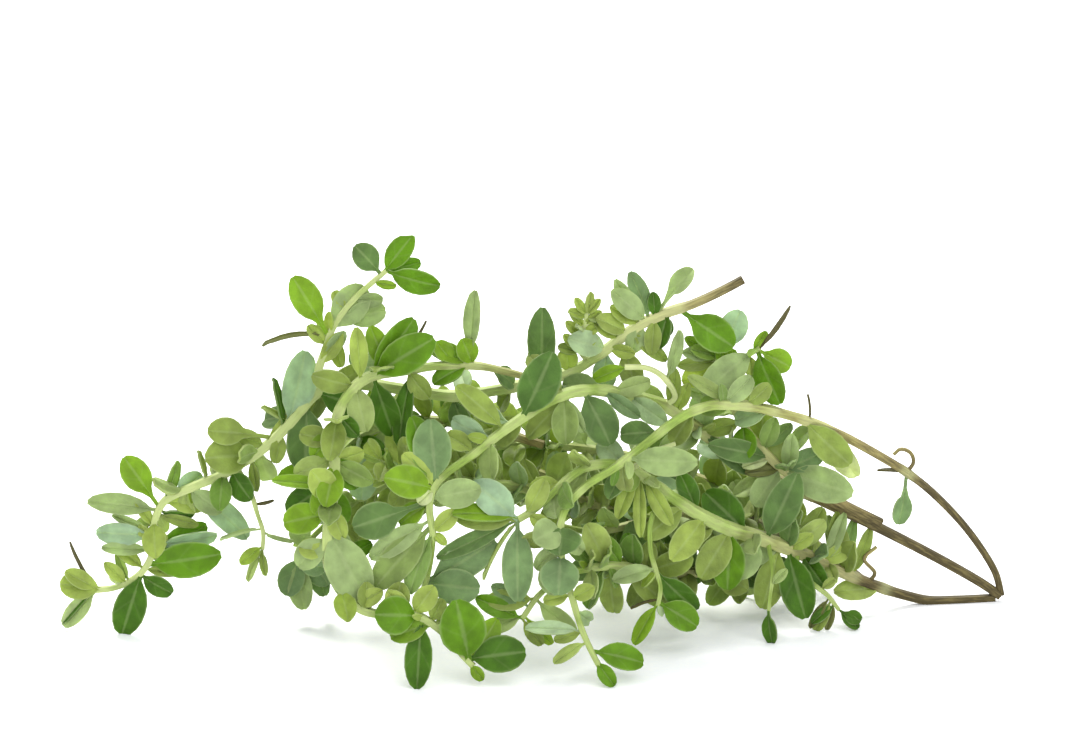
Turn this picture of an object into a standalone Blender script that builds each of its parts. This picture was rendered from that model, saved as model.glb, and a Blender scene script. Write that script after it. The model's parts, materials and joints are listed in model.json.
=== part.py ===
"""Thyme bundle: a handful of cut thyme sprigs lying loosely together on a table.

Each sprig is one piece that grew: its stems, side shoots and leaves are fused into one solid.
Lengths in the design are millimetres, +Z is up, and the bundle rests on z = 0.
The forked sprig's cut heel is at the +X end, and the leafy tips reach towards -X.

Every point is given as on an oblique front drawing: (across, rise, back). The drawing's rise climbs
with depth, so a point drawn at one rise sits lower the further back it is, as drawn() works out.
"""

import math
import random

import bmesh
import bpy
from mathutils import Matrix, Vector
from mathutils.bvhtree import BVHTree

MM = 0.001
SEED = 7
RISE_PER_DEPTH = 0.325
ORIGIN_ACROSS, ORIGIN_BACK = 0.52, 3.89

# Leaf: a short stalk, then an oval blade. Shares are of the whole leaf's length.
STALK_SHARE = 0.17
WIDEST_SHARE = 0.5
SHOULDER_SHARE = 0.8
SHOULDER_WIDTH = 0.74
STALK_WIDTH = 0.8
BLADE_THICKNESS = 0.75
FLAT_SHARE = 0.3
SMALL_LEAF = 5.0
FOLD = math.radians(14)
BEND = 22

# Stem: square in section, as in all of the mint family. CORNER is a corner's reach for a radius of 1.
STEM_SPACING = 5.0
CORNER = 1.15
LINE_STEP = 0.5

# Room: leaves keep CLEARANCE to other sprigs, and a tip may dip DIP into the table, where it is trimmed.
CLEARANCE = 0.3
DIP = 0.5
BLADE_START = 0.4
FLOOR_SIZE = (400, 400, 20)

# Pairs of leaves: the ranges that each leaf's draw is from, and the turns that are tried to find room.
SPREAD = (48, 78)
LIGHT_SHARE = (0.35, 0.95)
AWAY_SHARE = 0.1
LENGTH_SHARE = (0.85, 1.12)
WIDTH_SHARE = (0.52, 0.64)
GAP_SHARE = (0.85, 1.15)
WOBBLE = 15
TURNS = (0, 22, -22, 45, -45, 70, -70)
LIGHT_SIDE = Vector((0, -0.75, 0.66))
FRONT = Vector((0, -0.95, 0.31))

LEAF_ROUGHNESS = 0.55
LEAF_COLOURS = {
    "sprig_forked": (0.20, 0.36, 0.13),
    "sprig_long": (0.25, 0.42, 0.11),
    "sprig_curled": (0.20, 0.38, 0.10),
    "sprig_crown": (0.26, 0.44, 0.13),
    "sprig_low": (0.15, 0.28, 0.08),
    "sprig_back_left": (0.18, 0.33, 0.12),
    "sprig_back_right": (0.18, 0.33, 0.10),
    "sprig_middle": (0.16, 0.31, 0.09),
    "sprig_left": (0.19, 0.36, 0.08),
    "sprig_inner": (0.15, 0.28, 0.08),
}


def stem(route, radii, pairs=None, leaves=(), parent=None):
    """A stem or side shoot of a sprig, which grows from its parent if it has one.

    radii are at its root, middle and tip. pairs is (first pair's distance, last pair's distance, gap,
    leaf length at the first pair, leaf length at the tip, roll of the first pair). leaves are those that
    stand out: (root across, root rise, tip across, tip rise, how much further back the tip is, width,
    turn about the leaf's own length, and its bend if that isn't BEND).
    """
    return {"route": route, "radii": radii, "pairs": pairs, "leaves": leaves, "parent": parent}


SPRIGS = {
    "sprig_forked": {
        "upper_arm": stem(
            [(73.5, 6.7, 18), (72.3, 11, 18.5), (68.5, 17, 18), (64, 22.2, 17), (59.5, 26.2, 15),
             (54, 29.8, 13), (47.5, 33.4, 10), (41, 36, 7), (34, 37.8, 3), (28, 38, -1), (23, 36, -4),
             (18, 32, -7), (13, 28, -9), (8.5, 25, -11), (5.5, 21.5, -13), (4.5, 17.5, -15),
             (5, 12, -17), (6.5, 6.5, -19), (7.8, 2, -20.5), (9.5, -2, -21.5), (10.5, -4, -22)],
            (0.62, 0.8, 0.45), (54, 104, 7.5, 7, 5, 60),
            [(58.3, 26.8, 53.8, 27.3, 0, 1.4, 50), (58.3, 26.8, 57, 18.5, -1, 2.8, -30),
             (42.9, 35.2, 42.8, 39.8, 0, 1.2, 85), (45.5, 34.2, 50, 27.4, 2, 4.6, 20),
             (44.5, 34.8, 40.5, 30.8, 3, 3.4, 40), (16, 30, 25.8, 30.2, -3, 5.2, 10),
             (31, 38, 24.2, 42.6, 1, 2.4, 20), (29.5, 38, 34, 42.6, 3, 3.4, 20),
             (5, 18, 0.4, 16.2, -4, 5.2, 5), (5.2, 13.5, 3.2, 7.4, -3, 5.4, 10),
             (9, -1.5, 17.2, -3.6, 2, 4.4, -20), (8.5, 0, 3.6, -3.6, 0, 2.2, 30),
             (10, -3, 12.8, -7.6, -1, 2.6, 0), (7.8, 1.5, -0.8, 2, 1, 2.6, 35),
             (6.8, 5, 9, 3.2, 3, 2.6, 0)],
        ),
        "middle_arm": stem(
            [(73.3, 6.7, 18), (70, 9, 17.5), (65, 12, 17), (60, 14.8, 16), (54, 18, 15), (48, 21, 14),
             (42, 24, 13), (36, 27, 12), (30, 31, 11), (25.5, 34.5, 9), (21, 37.8, 7), (16, 39.4, 4),
             (11, 40.4, 1), (6, 40, -2), (1, 37.5, -5), (-4, 34, -8), (-9, 30, -11), (-14, 26, -14),
             (-15.5, 22, -15), (-15, 17, -16), (-15.5, 12, -16), (-16.5, 8, -16)],
            (0.78, 1.0, 0.45), (36, 99, 7, 8, 6.5, 20),
            [(-1.5, 36.5, 3.4, 46.6, -2, 6.4, 8), (8, 40.2, 12.2, 31.6, -2, 5.8, -12),
             (7, 40, -0.4, 32.6, -1, 4.2, 25), (12.5, 40.5, 18.4, 42, 2, 3.2, 20),
             (15, 39.6, 21, 35.2, -2, 3.6, 15), (-8.5, 30.5, -13, 33.2, 3, 3.4, 20),
             (-15, 24.5, -22.4, 26.4, -3, 5.4, 12), (-14.8, 25.5, -13.6, 33.6, 1, 5.6, -10),
             (-15, 25, -18.2, 36.2, 3, 4.8, 12), (-15.2, 22.5, -27.2, 18.4, -2, 6, -8),
             (-15.2, 22, -20, 18.8, 1, 4, 30), (-15, 23, -7.6, 24.6, -1, 4.8, 5),
             (-15, 18.8, -23.8, 8.6, -2, 5.6, 12), (-15, 17.5, -18.4, 7.6, -4, 3.8, 25),
             (-15.6, 11.5, -6, 16.6, 2, 5.6, 10), (-16, 9.4, -7.8, 8.4, -1, 5.8, 5),
             (-4, 34, -11.5, 41, 2, 4, 20), (-3, 35, -9.5, 38.8, 5, 3.4, -20)],
        ),
        "lower_arm": stem(
            [(72.5, 6.35, 18), (69.5, 6.15, 17.5), (66, 5.98, 17), (62, 5.95, 16.5), (58, 6.9, 16),
             (54.5, 8.1, 15), (50, 10, 13), (45.5, 12.2, 10.5), (41, 14.2, 8), (36, 16.2, 5),
             (31, 17.8, 2), (26.5, 20, 0), (22, 23, -1.5), (18, 26, -2.5), (14.5, 28, -3),
             (11, 28.5, -5), (7.5, 27.5, -7), (4, 24.5, -9.5), (1, 21.5, -12), (-2, 19.5, -14)],
            (0.66, 1.1, 0.5), (26, 84, 6.2, 6.5, 6.5, 75),
            [(55, 8.2, 47.2, 7.4, -2, 3.6, 10), (47.5, 11.4, 46.2, 20, 2, 2.4, 20),
             (46.5, 12, 47.4, 9, -5, 2.4, 10), (48, 11, 50.2, 19.6, 3, 2.2, 30),
             (42, 13.8, 45.8, 8.2, -3, 3.4, 10), (40, 14.6, 42.6, 3.2, -4, 5.6, 5),
             (40, 14.6, 45.6, 19.2, 2, 3.6, 25), (39, 14.9, 30.6, 12.2, -2, 4.4, 15),
             (38.6, 15, 36, 4.8, -1, 4.8, 0), (36.5, 16, 41.2, 27, -3, 5.6, 5),
             (33.5, 16.8, 27, 23.8, 3, 5.6, 5), (31, 17.8, 30, 6.4, -3, 5.4, 5),
             (25.5, 20.4, 23, 27, 2, 3.4, 10), (17, 26.5, 17, 16.6, -5, 2.2, 20),
             (17.5, 26.3, 21.8, 18.6, -3, 2.8, 10), (16, 27, 13.4, 19.6, -3, 2.6, 10),
             (-2, 19.5, -8.8, 25.6, 0, 5.2, 8), (-1.5, 19.8, -12, 20.4, -3, 3.6, 40),
             (-2, 19.5, -2, 6.4, -5, 5, 0), (-1.5, 19.8, -7.2, 9.8, -2, 1.6, 80),
             (-1, 20.2, 2.2, 26, 2, 3.4, 10)],
        ),
        "drooping_shoot": stem(
            [(18.6, 19.5, -5), (18.4, 15, -6), (19.2, 11.5, -7), (20, 8.5, -7.5), (19.6, 5.5, -8)],
            (0.5, 0.45, 0.35), None,
            [(19.3, 11, 25.6, 4.8, 2, 4.2, 10), (19.6, 5.8, 16, -0.8, -1, 2.6, 15),
             (19.7, 5.8, 25.6, 2.1, 0, 3.8, -15), (19.8, 6.5, 15.4, 5, 1, 1.2, 70),
             (19.2, 11.3, 12.6, 9.6, -3, 3, 20)],
            "lower_arm",
        ),
        "right_shoot": stem(
            [(41.5, 11, 5.5), (43.8, 8.8, 4.5), (46, 7, 4), (47.8, 4.6, 4)],
            (0.45, 0.4, 0.3), None,
            [(47.8, 4.6, 51.2, 2.8, 0, 2.4, 0), (47.2, 5.4, 43.6, 2.4, -1, 2, 20),
             (45, 7.8, 47.2, 9.6, 1, 1.6, 0)],
            "lower_arm",
        ),
        "drop_shoot": stem(
            [(37.4, 11, 1), (37, 7, -1.5), (36.8, 4.6, -2)],
            (0.4, 0.35, 0.3), None,
            [(36.8, 4.8, 36.9, -0.8, 0, 2, 40), (37.2, 9, 39.6, 11.4, 0, 1.6, 10)],
            "lower_arm",
        ),
        "heel_twig": stem(
            [(53.6, 10.5, 14), (51.9, 12.8, 13), (53.8, 14.8, 13)], (0.36, 0.32, 0.3), None, (), "lower_arm",
        ),
        "hooked_twig": stem(
            [(59.5, 28.6, 15), (59, 30.2, 15), (57.5, 30.8, 15), (56.4, 29.9, 15)],
            (0.36, 0.34, 0.3), None, (), "upper_arm",
        ),
        "pale_stalk": stem(
            [(22.3, 39.5, 6), (20.6, 42.4, 5), (18, 44, 4), (14.5, 44.2, 4)],
            (0.55, 0.5, 0.4), None,
            [(14.8, 44.2, 9.6, 42, 0, 2.6, 20), (21, 42, 22.9, 50.2, 1, 2.4, 35)],
            "middle_arm",
        ),
        "pale_stub": stem(
            [(16.5, 28.4, -4.5), (19.3, 30.6, -6), (22.2, 31.8, -6.5)],
            (0.45, 0.4, 0.35), None, (), "lower_arm",
        ),
    },
    "sprig_long": {
        "main_stem": stem(
            [(32.8, 58.4, 10), (29, 56.3, 9.5), (25, 54.4, 9), (20.5, 52.8, 8.5), (16, 50.5, 8),
             (11, 46.5, 7.5), (6, 43.3, 7.5), (0, 41.6, 8), (-6, 40.3, 8.5), (-12, 39.5, 9),
             (-18, 40.3, 9), (-24, 41.2, 8), (-29, 41.4, 6), (-33, 40, 4), (-36, 36.5, 2), (-39, 33, 1),
             (-42.5, 30, 1), (-47, 27, 1), (-52, 24.8, 2), (-56.5, 22.5, 3), (-58.3, 18.5, 3),
             (-58.5, 14, 3), (-60.5, 10.5, 3.5), (-64, 8.4, 4), (-67.7, 7.8, 4.5)],
            (0.75, 0.95, 0.45), (24, 112, 7.5, 7, 5.5, 60),
            [(21.5, 53.2, 20, 47.2, -2, 3.2, 30), (19.2, 52.4, 25.4, 58.9, 1, 2.8, -40),
             (18.5, 51.8, 15.2, 59.6, 1, 3.2, 20), (18, 51.5, 12.4, 56.6, -2, 3.8, 10),
             (15, 49.8, 10, 52, -2, 3.4, 25), (23, 53.6, 31.3, 47.4, -2, 5.6, 0),
             (2, 42, 1.9, 53.9, -1, 4.2, -10), (-12, 39.6, -9.8, 33.4, 0, 3.6, 20),
             (-32.4, 40.3, -25.6, 44.4, 3, 3.6, 20), (-32.8, 40, -24.6, 37.4, -2, 5.4, 0),
             (-34.4, 38.4, -34.8, 27, -3, 6.2, 0), (-35.8, 36.8, -33.4, 46.8, 4, 5, 20),
             (-38.5, 33.6, -39.8, 42.4, 1, 1.6, 80), (-39.5, 32.6, -50.8, 33.8, -1, 3.8, 15),
             (-43, 29.6, -50.2, 29.4, -3, 6, 10), (-46, 27.6, -43, 22.6, -3, 4, 20),
             (-50, 25.7, -51.5, 30.6, 2, 1.4, 60), (-52.5, 24.5, -43.8, 16.4, 1, 4.2, -15),
             (-57, 22.2, -54.6, 29, 1, 2.2, 40), (-57.4, 21.4, -62.8, 29.6, 1, 3.8, 0),
             (-57.6, 20.8, -68.5, 22.2, -1, 3, 20), (-58.4, 17, -67.2, 17.4, 1, 3, -15),
             (-58.5, 15.5, -48.6, 17, 2, 2.8, 40), (-58.8, 13, -47.6, 14.4, -3, 5.4, 20),
             (-60.3, 10.8, -63.4, 0.6, -1, 5.2, 0), (-60.5, 10.5, -55.6, 7.4, 1, 3.4, 20),
             (-66.5, 8.1, -73, 9.6, 0, 4, 10), (-67.3, 8, -72.4, 1.9, 0, 3.2, 10),
             (-67.4, 8, -71.4, 15.8, 1, 1.4, -80), (-62, 9.4, -64, 14, 0, 1.6, -30)],
        ),
        "upright_shoot": stem(
            [(-32.8, 43, 3), (-31.6, 47, 3), (-30.5, 50.5, 4), (-28, 54.3, 5), (-25, 57.3, 5.5),
             (-22.2, 59.8, 6)],
            (0.7, 0.55, 0.4), None,
            [(-31, 49, -36.6, 58.8, 0, 4.2, 5), (-31.2, 49, -41.6, 47.5, 0, 1.6, 60, 50),
             (-30.6, 50, -25.6, 57.2, 3, 4.6, 0), (-29.5, 52, -22.4, 53.4, 2, 4.2, 10),
             (-31.8, 46, -28.6, 50, 0, 2.4, 20), (-23, 59, -27.1, 63.8, 0, 3.6, 10),
             (-22.4, 59.6, -18, 65.5, 0, 3.3, -10), (-22.3, 59.7, -13.9, 57.4, -1, 3.8, 30),
             (-22.4, 59.7, -17, 61.2, 2, 2.6, 10), (-24, 58.2, -20.6, 57.4, -1, 1.6, 30)],
            "main_stem",
        ),
        "hanging_shoot": stem(
            [(-43.2, 24, -0.5), (-42.2, 20.5, -1), (-41.3, 17.4, -1), (-41.4, 14.6, -1)],
            (0.42, 0.38, 0.32), None,
            [(-41.4, 17.8, -48, 16, 1, 1.4, 60), (-41.3, 17.6, -36.6, 16, 0, 1.3, 60),
             (-41.4, 15, -44.8, 12.2, -1, 2.2, 10), (-41.4, 14.8, -43.6, 9.3, 1, 1.5, 40),
             (-41.4, 14.8, -40.8, 10.3, -1, 1.4, 30), (-42.6, 22, -39.6, 22.6, 1, 1.3, 50)],
            "main_stem",
        ),
        "feather_shoot": stem(
            [(7.6, 47, 7), (8.2, 50.5, 7), (8.9, 54, 7)],
            (0.4, 0.36, 0.3), (2, 8, 2.6, 3.8, 2.8, 90), [(8.6, 52.5, 9.2, 56.4, 0, 1.6, 30)], "main_stem",
        ),
    },
    "sprig_curled": {
        "main_stem": stem(
            [(1.5, 41.9, 2), (-4, 43.5, 2), (-8.5, 44.4, 2), (-14, 44.4, 1), (-19.5, 43.6, -1),
             (-25, 42.5, -3), (-28.5, 39, -6), (-30, 34, -9), (-30, 28, -12), (-30.5, 22, -14),
             (-31.2, 16, -15.5), (-30.8, 11.5, -16.5), (-29, 8, -17.5), (-26, 5.2, -18.5),
             (-22, 4.2, -19.5), (-18, 4.4, -20.2), (-14.5, 2.4, -21), (-11.5, -1, -21.5), (-8.8, -4, -22)],
            (0.55, 0.95, 0.5), (24, 64, 6.5, 7.5, 6.5, 10),
            [(-24.5, 42.7, -14.8, 48.8, 1, 5.8, 0), (-25, 42.5, -18, 52, 4, 5, 20),
             (-9, 44.4, -15.8, 47.4, 1, 3.6, 30), (-9, 44.4, -8.4, 56.6, 2, 3, -30),
             (-9.5, 44.4, -15, 41.4, -2, 3.4, 30), (-26.2, 41.8, -26.8, 50.6, 1, 4.6, 10),
             (-18, 43.8, -20.2, 31.4, -2, 3.2, 20), (-24, 42.8, -21.2, 33.2, 1, 4.6, 0),
             (-30.6, 20.5, -37.8, 19, 1, 5, 10), (-30.4, 23, -33.6, 27.6, -2, 4.6, 10),
             (-30.3, 25, -39.6, 25.8, 0, 2.4, 30), (-30.8, 18.5, -25.4, 6.6, -3, 7, 5),
             (-31, 17, -37, 12.4, 0, 4.4, 10), (-26.8, 5.8, -30.4, 12.4, -1, 4.2, 20),
             (-17.4, 4.2, -24.2, 0.6, -1, 6.2, 0), (-16.5, 3.6, -17.4, -8.2, -3, 4.4, 5),
             (-15, 2.8, -19.6, -1.6, 0, 4, 20), (-9.5, -3.2, -11.4, 6.8, -1, 7.4, 5),
             (-10, -2.8, -0.8, -1.8, 1, 6, -10), (-9, -3.8, -7.2, -6.2, -1, 2, 20),
             (-9.5, -3.2, -5.2, 3.6, 3, 4, 15)],
        ),
    },
    "sprig_crown": {
        "main_stem": stem(
            [(54.5, 18.8, 12.2), (50, 21.1, 11.2), (45, 23.8, 10.2), (41, 26, 9.5), (37, 29.5, 9),
             (33.5, 34, 9.5), (31, 38.5, 10), (31, 42.5, 9.5), (33, 45.6, 8.5), (35.4, 47.3, 8)],
            (0.7, 0.7, 0.4), (18, 32, 6, 7, 6.5, 30),
            [(35.2, 47, 40.1, 44.2, 0, 3.3, 0), (35.4, 47.3, 40.1, 54.2, 1, 1.4, 75),
             (34.5, 46.8, 26.4, 39.8, -5, 5, 10), (34.8, 47, 38.6, 38.2, -2, 4.2, 20),
             (39, 27.6, 49.9, 23.6, -3, 5.6, 8), (36, 30.5, 37.9, 36, -1, 3, 0),
             (35.5, 31, 40.4, 35, 1, 2.6, 20), (33, 35, 33.4, 29.2, -3, 4, 5),
             (37.5, 29, 32.8, 27.8, -1, 2.2, 30)],
        ),
        "side_shoot": stem(
            [(29.8, 43.6, 9.5), (28.6, 46, 9)], (0.5, 0.45, 0.4), None,
            [(28.8, 45.6, 32.4, 53.4, 2, 3.6, 10), (28.8, 45.6, 24.6, 47, -2, 2.6, 30),
             (29.4, 44.5, 23.4, 41.6, -3, 3, 10)],
            "main_stem",
        ),
    },
    "sprig_low": {
        "main_stem": stem(
            [(42, 9.5, 21), (36, 10.3, 17), (30, 10.8, 11.5), (24, 10.8, 4.5), (18, 11.4, -2.5),
             (12, 12, -8), (6, 10.8, -12.5), (1.5, 7.6, -15), (-1.3, 3.6, -16.5)],
            (0.7, 0.75, 0.4), (5, 50, 6, 6.5, 5.5, 45),
            [(12.4, 12, 13, 4.4, 3, 4, 20), (22, 10.8, 20.6, 4.6, -3, 3.6, 20),
             (29.5, 10.8, 33.6, 5.4, -4, 4.6, 10), (18, 11, 25, 13.5, -1, 4.4, 20),
             (0.8, 7, 6.8, 1.2, 2, 3.4, 10), (-1.1, 4, -6.6, 1.6, 0, 3, 20), (-1, 4, 3.4, -0.4, 1, 2.2, 20)],
        ),
    },
    "sprig_back_left": {
        "main_stem": stem(
            [(24, 9.15, 26.5), (18, 15.5, 26), (10, 22.3, 25), (0, 27, 23), (-11, 28.5, 20), (-20, 26.3, 17),
             (-28, 21.5, 14), (-33.5, 16.8, 11.5), (-36.5, 12.4, 9.5)],
            (0.75, 0.85, 0.4), (8, 64, 6.5, 7.5, 6.5, 15),
            [(-36, 13.2, -39, 6.6, -2, 4.4, 10), (-36.2, 13, -35.2, 4.6, -2, 4, 10),
             (-35, 15, -31.4, 8.6, -2, 4.6, 15), (-34.6, 15.4, -39, 16.6, -1, 4, 15),
             (-36.3, 12.8, -31.6, 11.4, -4, 3.6, 20), (-25.5, 23, -27.6, 14.6, -1, 5, 10)],
        ),
    },
    "sprig_back_right": {
        "main_stem": stem(
            [(52, 9.15, 26.5), (46, 14, 27), (38, 19.5, 26.5), (28, 25, 25), (17, 29, 22), (7, 31, 18.5),
             (-2, 31.5, 15), (-10, 30, 12)],
            (0.75, 0.85, 0.4), (10, 70, 6, 7.5, 6.5, 60), (),
        ),
    },
    "sprig_middle": {
        "main_stem": stem(
            [(26, 12.5, 19), (19, 17.5, 16), (12, 21, 12.5), (4, 23.5, 8), (-4, 25, 3.5), (-12, 26, -1),
             (-20, 27.5, -3), (-26, 30, -4)],
            (0.75, 0.8, 0.4), (8, 62, 6, 7.5, 6.5, 35), (),
        ),
    },
    "sprig_left": {
        "main_stem": stem(
            [(2, 31.5, 11.5), (-5, 33.6, 13), (-13, 35.3, 13.5), (-20, 35.2, 12), (-26, 33, 9), (-30, 29, 6),
             (-31.5, 24.5, 3.5)],
            (0.7, 0.75, 0.4), (5, 30, 6.5, 7, 6.5, 15),
            [(-27, 32, -22.2, 30.6, -3, 3.6, 10), (-31, 26.5, -39, 26.2, -2, 4, 20),
             (-31.5, 24.8, -28.6, 18.8, -2, 4, 0), (-31.2, 25, -37.6, 20.6, 0, 4.4, 10),
             (-29.5, 29.5, -34.4, 28.6, -2, 2.4, 30), (-25.5, 33.2, -26.2, 22.6, -1, 5.4, 5),
             (-22, 34.6, -28.6, 31.4, 1, 3, -30)],
        ),
    },
    "sprig_inner": {
        "main_stem": stem(
            [(46, 11.8, 23), (40, 16, 21.5), (33, 19.5, 17.5), (25, 20, 11), (17, 18.8, 4.5), (10, 17.5, -1),
             (4, 18.6, -5)],
            (0.7, 0.75, 0.4), (8, 48, 6, 7, 6, 75), (),
        ),
    },
}


def drawn(across, rise, back):
    """The place in millimetres of a point on the oblique drawing."""
    return Vector((across - ORIGIN_ACROSS, back - ORIGIN_BACK, rise - RISE_PER_DEPTH * back))


def smooth_line(points):
    """A smooth curve through the points, as points LINE_STEP apart."""
    knots = [2 * points[0] - points[1], *points, 2 * points[-1] - points[-2]]
    line = [points[0]]
    for a, b, c, d in zip(knots, knots[1:], knots[2:], knots[3:]):
        steps = max(2, round((c - b).length / LINE_STEP))
        for step in range(1, steps + 1):
            t = step / steps
            bend = (2 * a - 5 * b + 4 * c - d) * t**2 + (3 * b - a - 3 * c + d) * t**3
            line.append(b + ((c - a) * t + bend) / 2)
    return line


class Stem:
    """One stem of a sprig: its centre line, and its radius and direction at a distance along it."""

    def __init__(self, design, parent):
        points = [drawn(*p) for p in design["route"]]
        if parent:
            points.insert(0, parent.nearest(points[0]))
        self.line = smooth_line(points)
        self.along = [0.0]
        for a, b in zip(self.line, self.line[1:]):
            self.along.append(self.along[-1] + (b - a).length)
        self.length = self.along[-1]
        self.radii = design["radii"]

    def nearest(self, place):
        return min(self.line, key=lambda p: (p - place).length)

    def distance_of(self, across, rise):
        """How far along the stem the point lies that is drawn nearest to (across, rise)."""
        def gap(i):
            p = self.line[i]
            return math.hypot(p.x + ORIGIN_ACROSS - across, p.z + RISE_PER_DEPTH * (p.y + ORIGIN_BACK) - rise)
        return self.along[min(range(len(self.line)), key=gap)]

    def index(self, distance):
        return min(range(len(self.along)), key=lambda i: abs(self.along[i] - distance))

    def point(self, distance):
        return self.line[self.index(distance)]

    def direction(self, distance):
        i = min(self.index(distance), len(self.line) - 2)
        return (self.line[i + 1] - self.line[max(i - 1, 0)]).normalized()

    def radius(self, distance):
        share = 2 * distance / self.length
        root, middle, tip = self.radii
        return root + (middle - root) * share if share < 1 else middle + (tip - middle) * (share - 1)


class Leaf:
    """A leaf's place: its root, the way it points, the way its upper face looks, and its size."""

    def __init__(self, root, aim, face, length, width, bend=BEND):
        self.root = root
        self.aim = aim.normalized()
        self.face = (face - face.dot(self.aim) * self.aim).normalized()
        self.side = self.aim.cross(self.face)
        self.length = length
        self.width = width
        self.bend = math.radians(bend)

    def point(self, share, offset, lift):
        """The point at a share of the length, offset to one side of the rib, and lifted off the blade."""
        start = self.bend / 2
        angle = start - self.bend * share
        forward = (math.sin(start) - math.sin(angle)) / self.bend * self.length
        up = (math.cos(angle) - math.cos(start)) / self.bend * self.length
        above = self.face * math.cos(angle) - self.aim * math.sin(angle)
        rib = self.root + self.aim * forward + self.face * up
        return rib + self.side * offset * math.cos(FOLD) + above * (abs(offset) * math.sin(FOLD) + lift)


def leaf_shape(leaf, grow=0.0, start=0.0):
    """Points and faces of a leaf: three-sided rings, flat above and keeled below, and then its tip."""
    stalk = STALK_WIDTH / 2 + grow
    half = leaf.width / 2 + grow
    above = BLADE_THICKNESS * FLAT_SHARE + grow
    below = BLADE_THICKNESS * (FLAT_SHARE - 1) - grow
    rings = [(start, stalk), (STALK_SHARE, stalk), (WIDEST_SHARE, half)]
    if leaf.length >= SMALL_LEAF:
        rings.append((SHOULDER_SHARE, half * SHOULDER_WIDTH))
    points = []
    for share, reach in rings:
        if share >= start:
            points += [leaf.point(share, -reach, above), leaf.point(share, reach, above)]
            points.append(leaf.point(share, 0, below))
    points.append(leaf.point(1 + grow / leaf.length, 0, 0))
    return points, loft_faces(len(points), 3, pointed=True)


def stem_shape(stem_, grow=0.0):
    """Points and faces of a stem: square rings with a side underneath."""
    count = max(3, round(stem_.length / STEM_SPACING) + 1)
    points = []
    for ring in range(count):
        distance = stem_.length * ring / (count - 1)
        ahead = stem_.direction(distance)
        across = level_side(ahead)
        over = ahead.cross(across)
        reach = stem_.radius(distance) * CORNER + grow
        for corner in range(4):
            angle = math.pi * (corner / 2 + 0.25)
            points.append(stem_.point(distance) + reach * (math.cos(angle) * across + math.sin(angle) * over))
    return points, loft_faces(len(points), 4, pointed=False)


def loft_faces(count, sides, pointed):
    """Faces over rings of so many sides. The first end is closed, and the other too or drawn to a point."""
    faces = [tuple(reversed(range(sides)))]
    last = count - 1 - sides if pointed else count - sides
    for ring in range(0, last, sides):
        for i in range(sides):
            j = (i + 1) % sides
            faces.append((ring + i, ring + j, ring + sides + j, ring + sides + i))
    if pointed:
        faces += [(last + i, last + (i + 1) % sides, count - 1) for i in range(sides)]
    else:
        faces.append(tuple(range(last, count)))
    return faces


def level_side(ahead):
    """The direction square to a stem that lies nearest to straight back."""
    return (Vector((0, 1, 0)) - ahead.y * ahead).normalized()


class Crowd:
    """What is already in place, so that a new leaf can be kept clear of it."""

    def __init__(self):
        self.things = []

    def add(self, sprig, shape):
        middle = sum(shape[0], Vector()) / len(shape[0])
        reach = max((p - middle).length for p in shape[0])
        self.things.append((sprig, BVHTree.FromPolygons(*shape), middle, reach))

    def is_clear(self, sprig, leaf, of_own):
        """Whether the leaf keeps CLEARANCE to other sprigs and, if asked, its blade misses its own sprig."""
        if min(p.z for p in leaf_shape(leaf)[0]) < -DIP:
            return False
        middle = leaf.point(WIDEST_SHARE, 0, 0)
        reach = leaf.length
        grown = BVHTree.FromPolygons(*leaf_shape(leaf, grow=CLEARANCE))
        own_blade = BVHTree.FromPolygons(*leaf_shape(leaf, start=BLADE_START))
        for name, tree, other_middle, other_reach in self.things:
            if (middle - other_middle).length > reach + other_reach:
                continue
            if name != sprig and grown.overlap(tree):
                return False
            if name == sprig and of_own and own_blade.overlap(tree):
                return False
        return True


def placed_leaf(stem_, root_across, root_rise, tip_across, tip_rise, back, width, turn, bend=BEND):
    """A leaf that stands out, from the stem's nearest drawn point to its own drawn tip."""
    root = stem_.point(stem_.distance_of(root_across, root_rise))
    aim = drawn(tip_across, tip_rise, root.y + ORIGIN_BACK + back) - root
    face = FRONT - FRONT.dot(aim) / aim.length_squared * aim
    face = Matrix.Rotation(math.radians(turn), 3, aim) @ face
    return Leaf(root, aim, face, aim.length, width, bend)


def paired_leaf(stem_, distance, roll, length, draw):
    """A leaf of a pair: it leaves the stem at its roll round it, and turns its upper face to the light."""
    ahead = stem_.direction(distance)
    outward = Matrix.Rotation(math.radians(roll), 3, ahead) @ level_side(ahead)
    spread = math.radians(draw.uniform(*SPREAD))
    aim = ahead * math.cos(spread) + outward * math.sin(spread)
    light = draw.uniform(*LIGHT_SHARE)
    face = ahead * (1 - light) + LIGHT_SIDE * light + outward * AWAY_SHARE
    return Leaf(stem_.point(distance), aim, face, length, length * draw.uniform(*WIDTH_SHARE))


def grow_pairs(sprig, stem_, pairs, crowd, draw):
    """The pairs of leaves up a stem, each square to the last. One with no room is turned, or left out."""
    first, last, gap, large, small, roll = pairs
    leaves = []
    distance = first
    while distance < min(last, stem_.length):
        share = (distance - first) / (stem_.length - first)
        for opposite in (0, 180):
            length = (large + (small - large) * share) * draw.uniform(*LENGTH_SHARE)
            wobble = draw.uniform(-WOBBLE, WOBBLE)
            for turn in TURNS:
                leaf = paired_leaf(stem_, distance, roll + opposite + wobble + turn, length, draw)
                if crowd.is_clear(sprig, leaf, of_own=True):
                    leaves.append(leaf)
                    crowd.add(sprig, leaf_shape(leaf))
                    break
        roll += 90
        distance += gap * draw.uniform(*GAP_SHARE)
    return leaves


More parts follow.
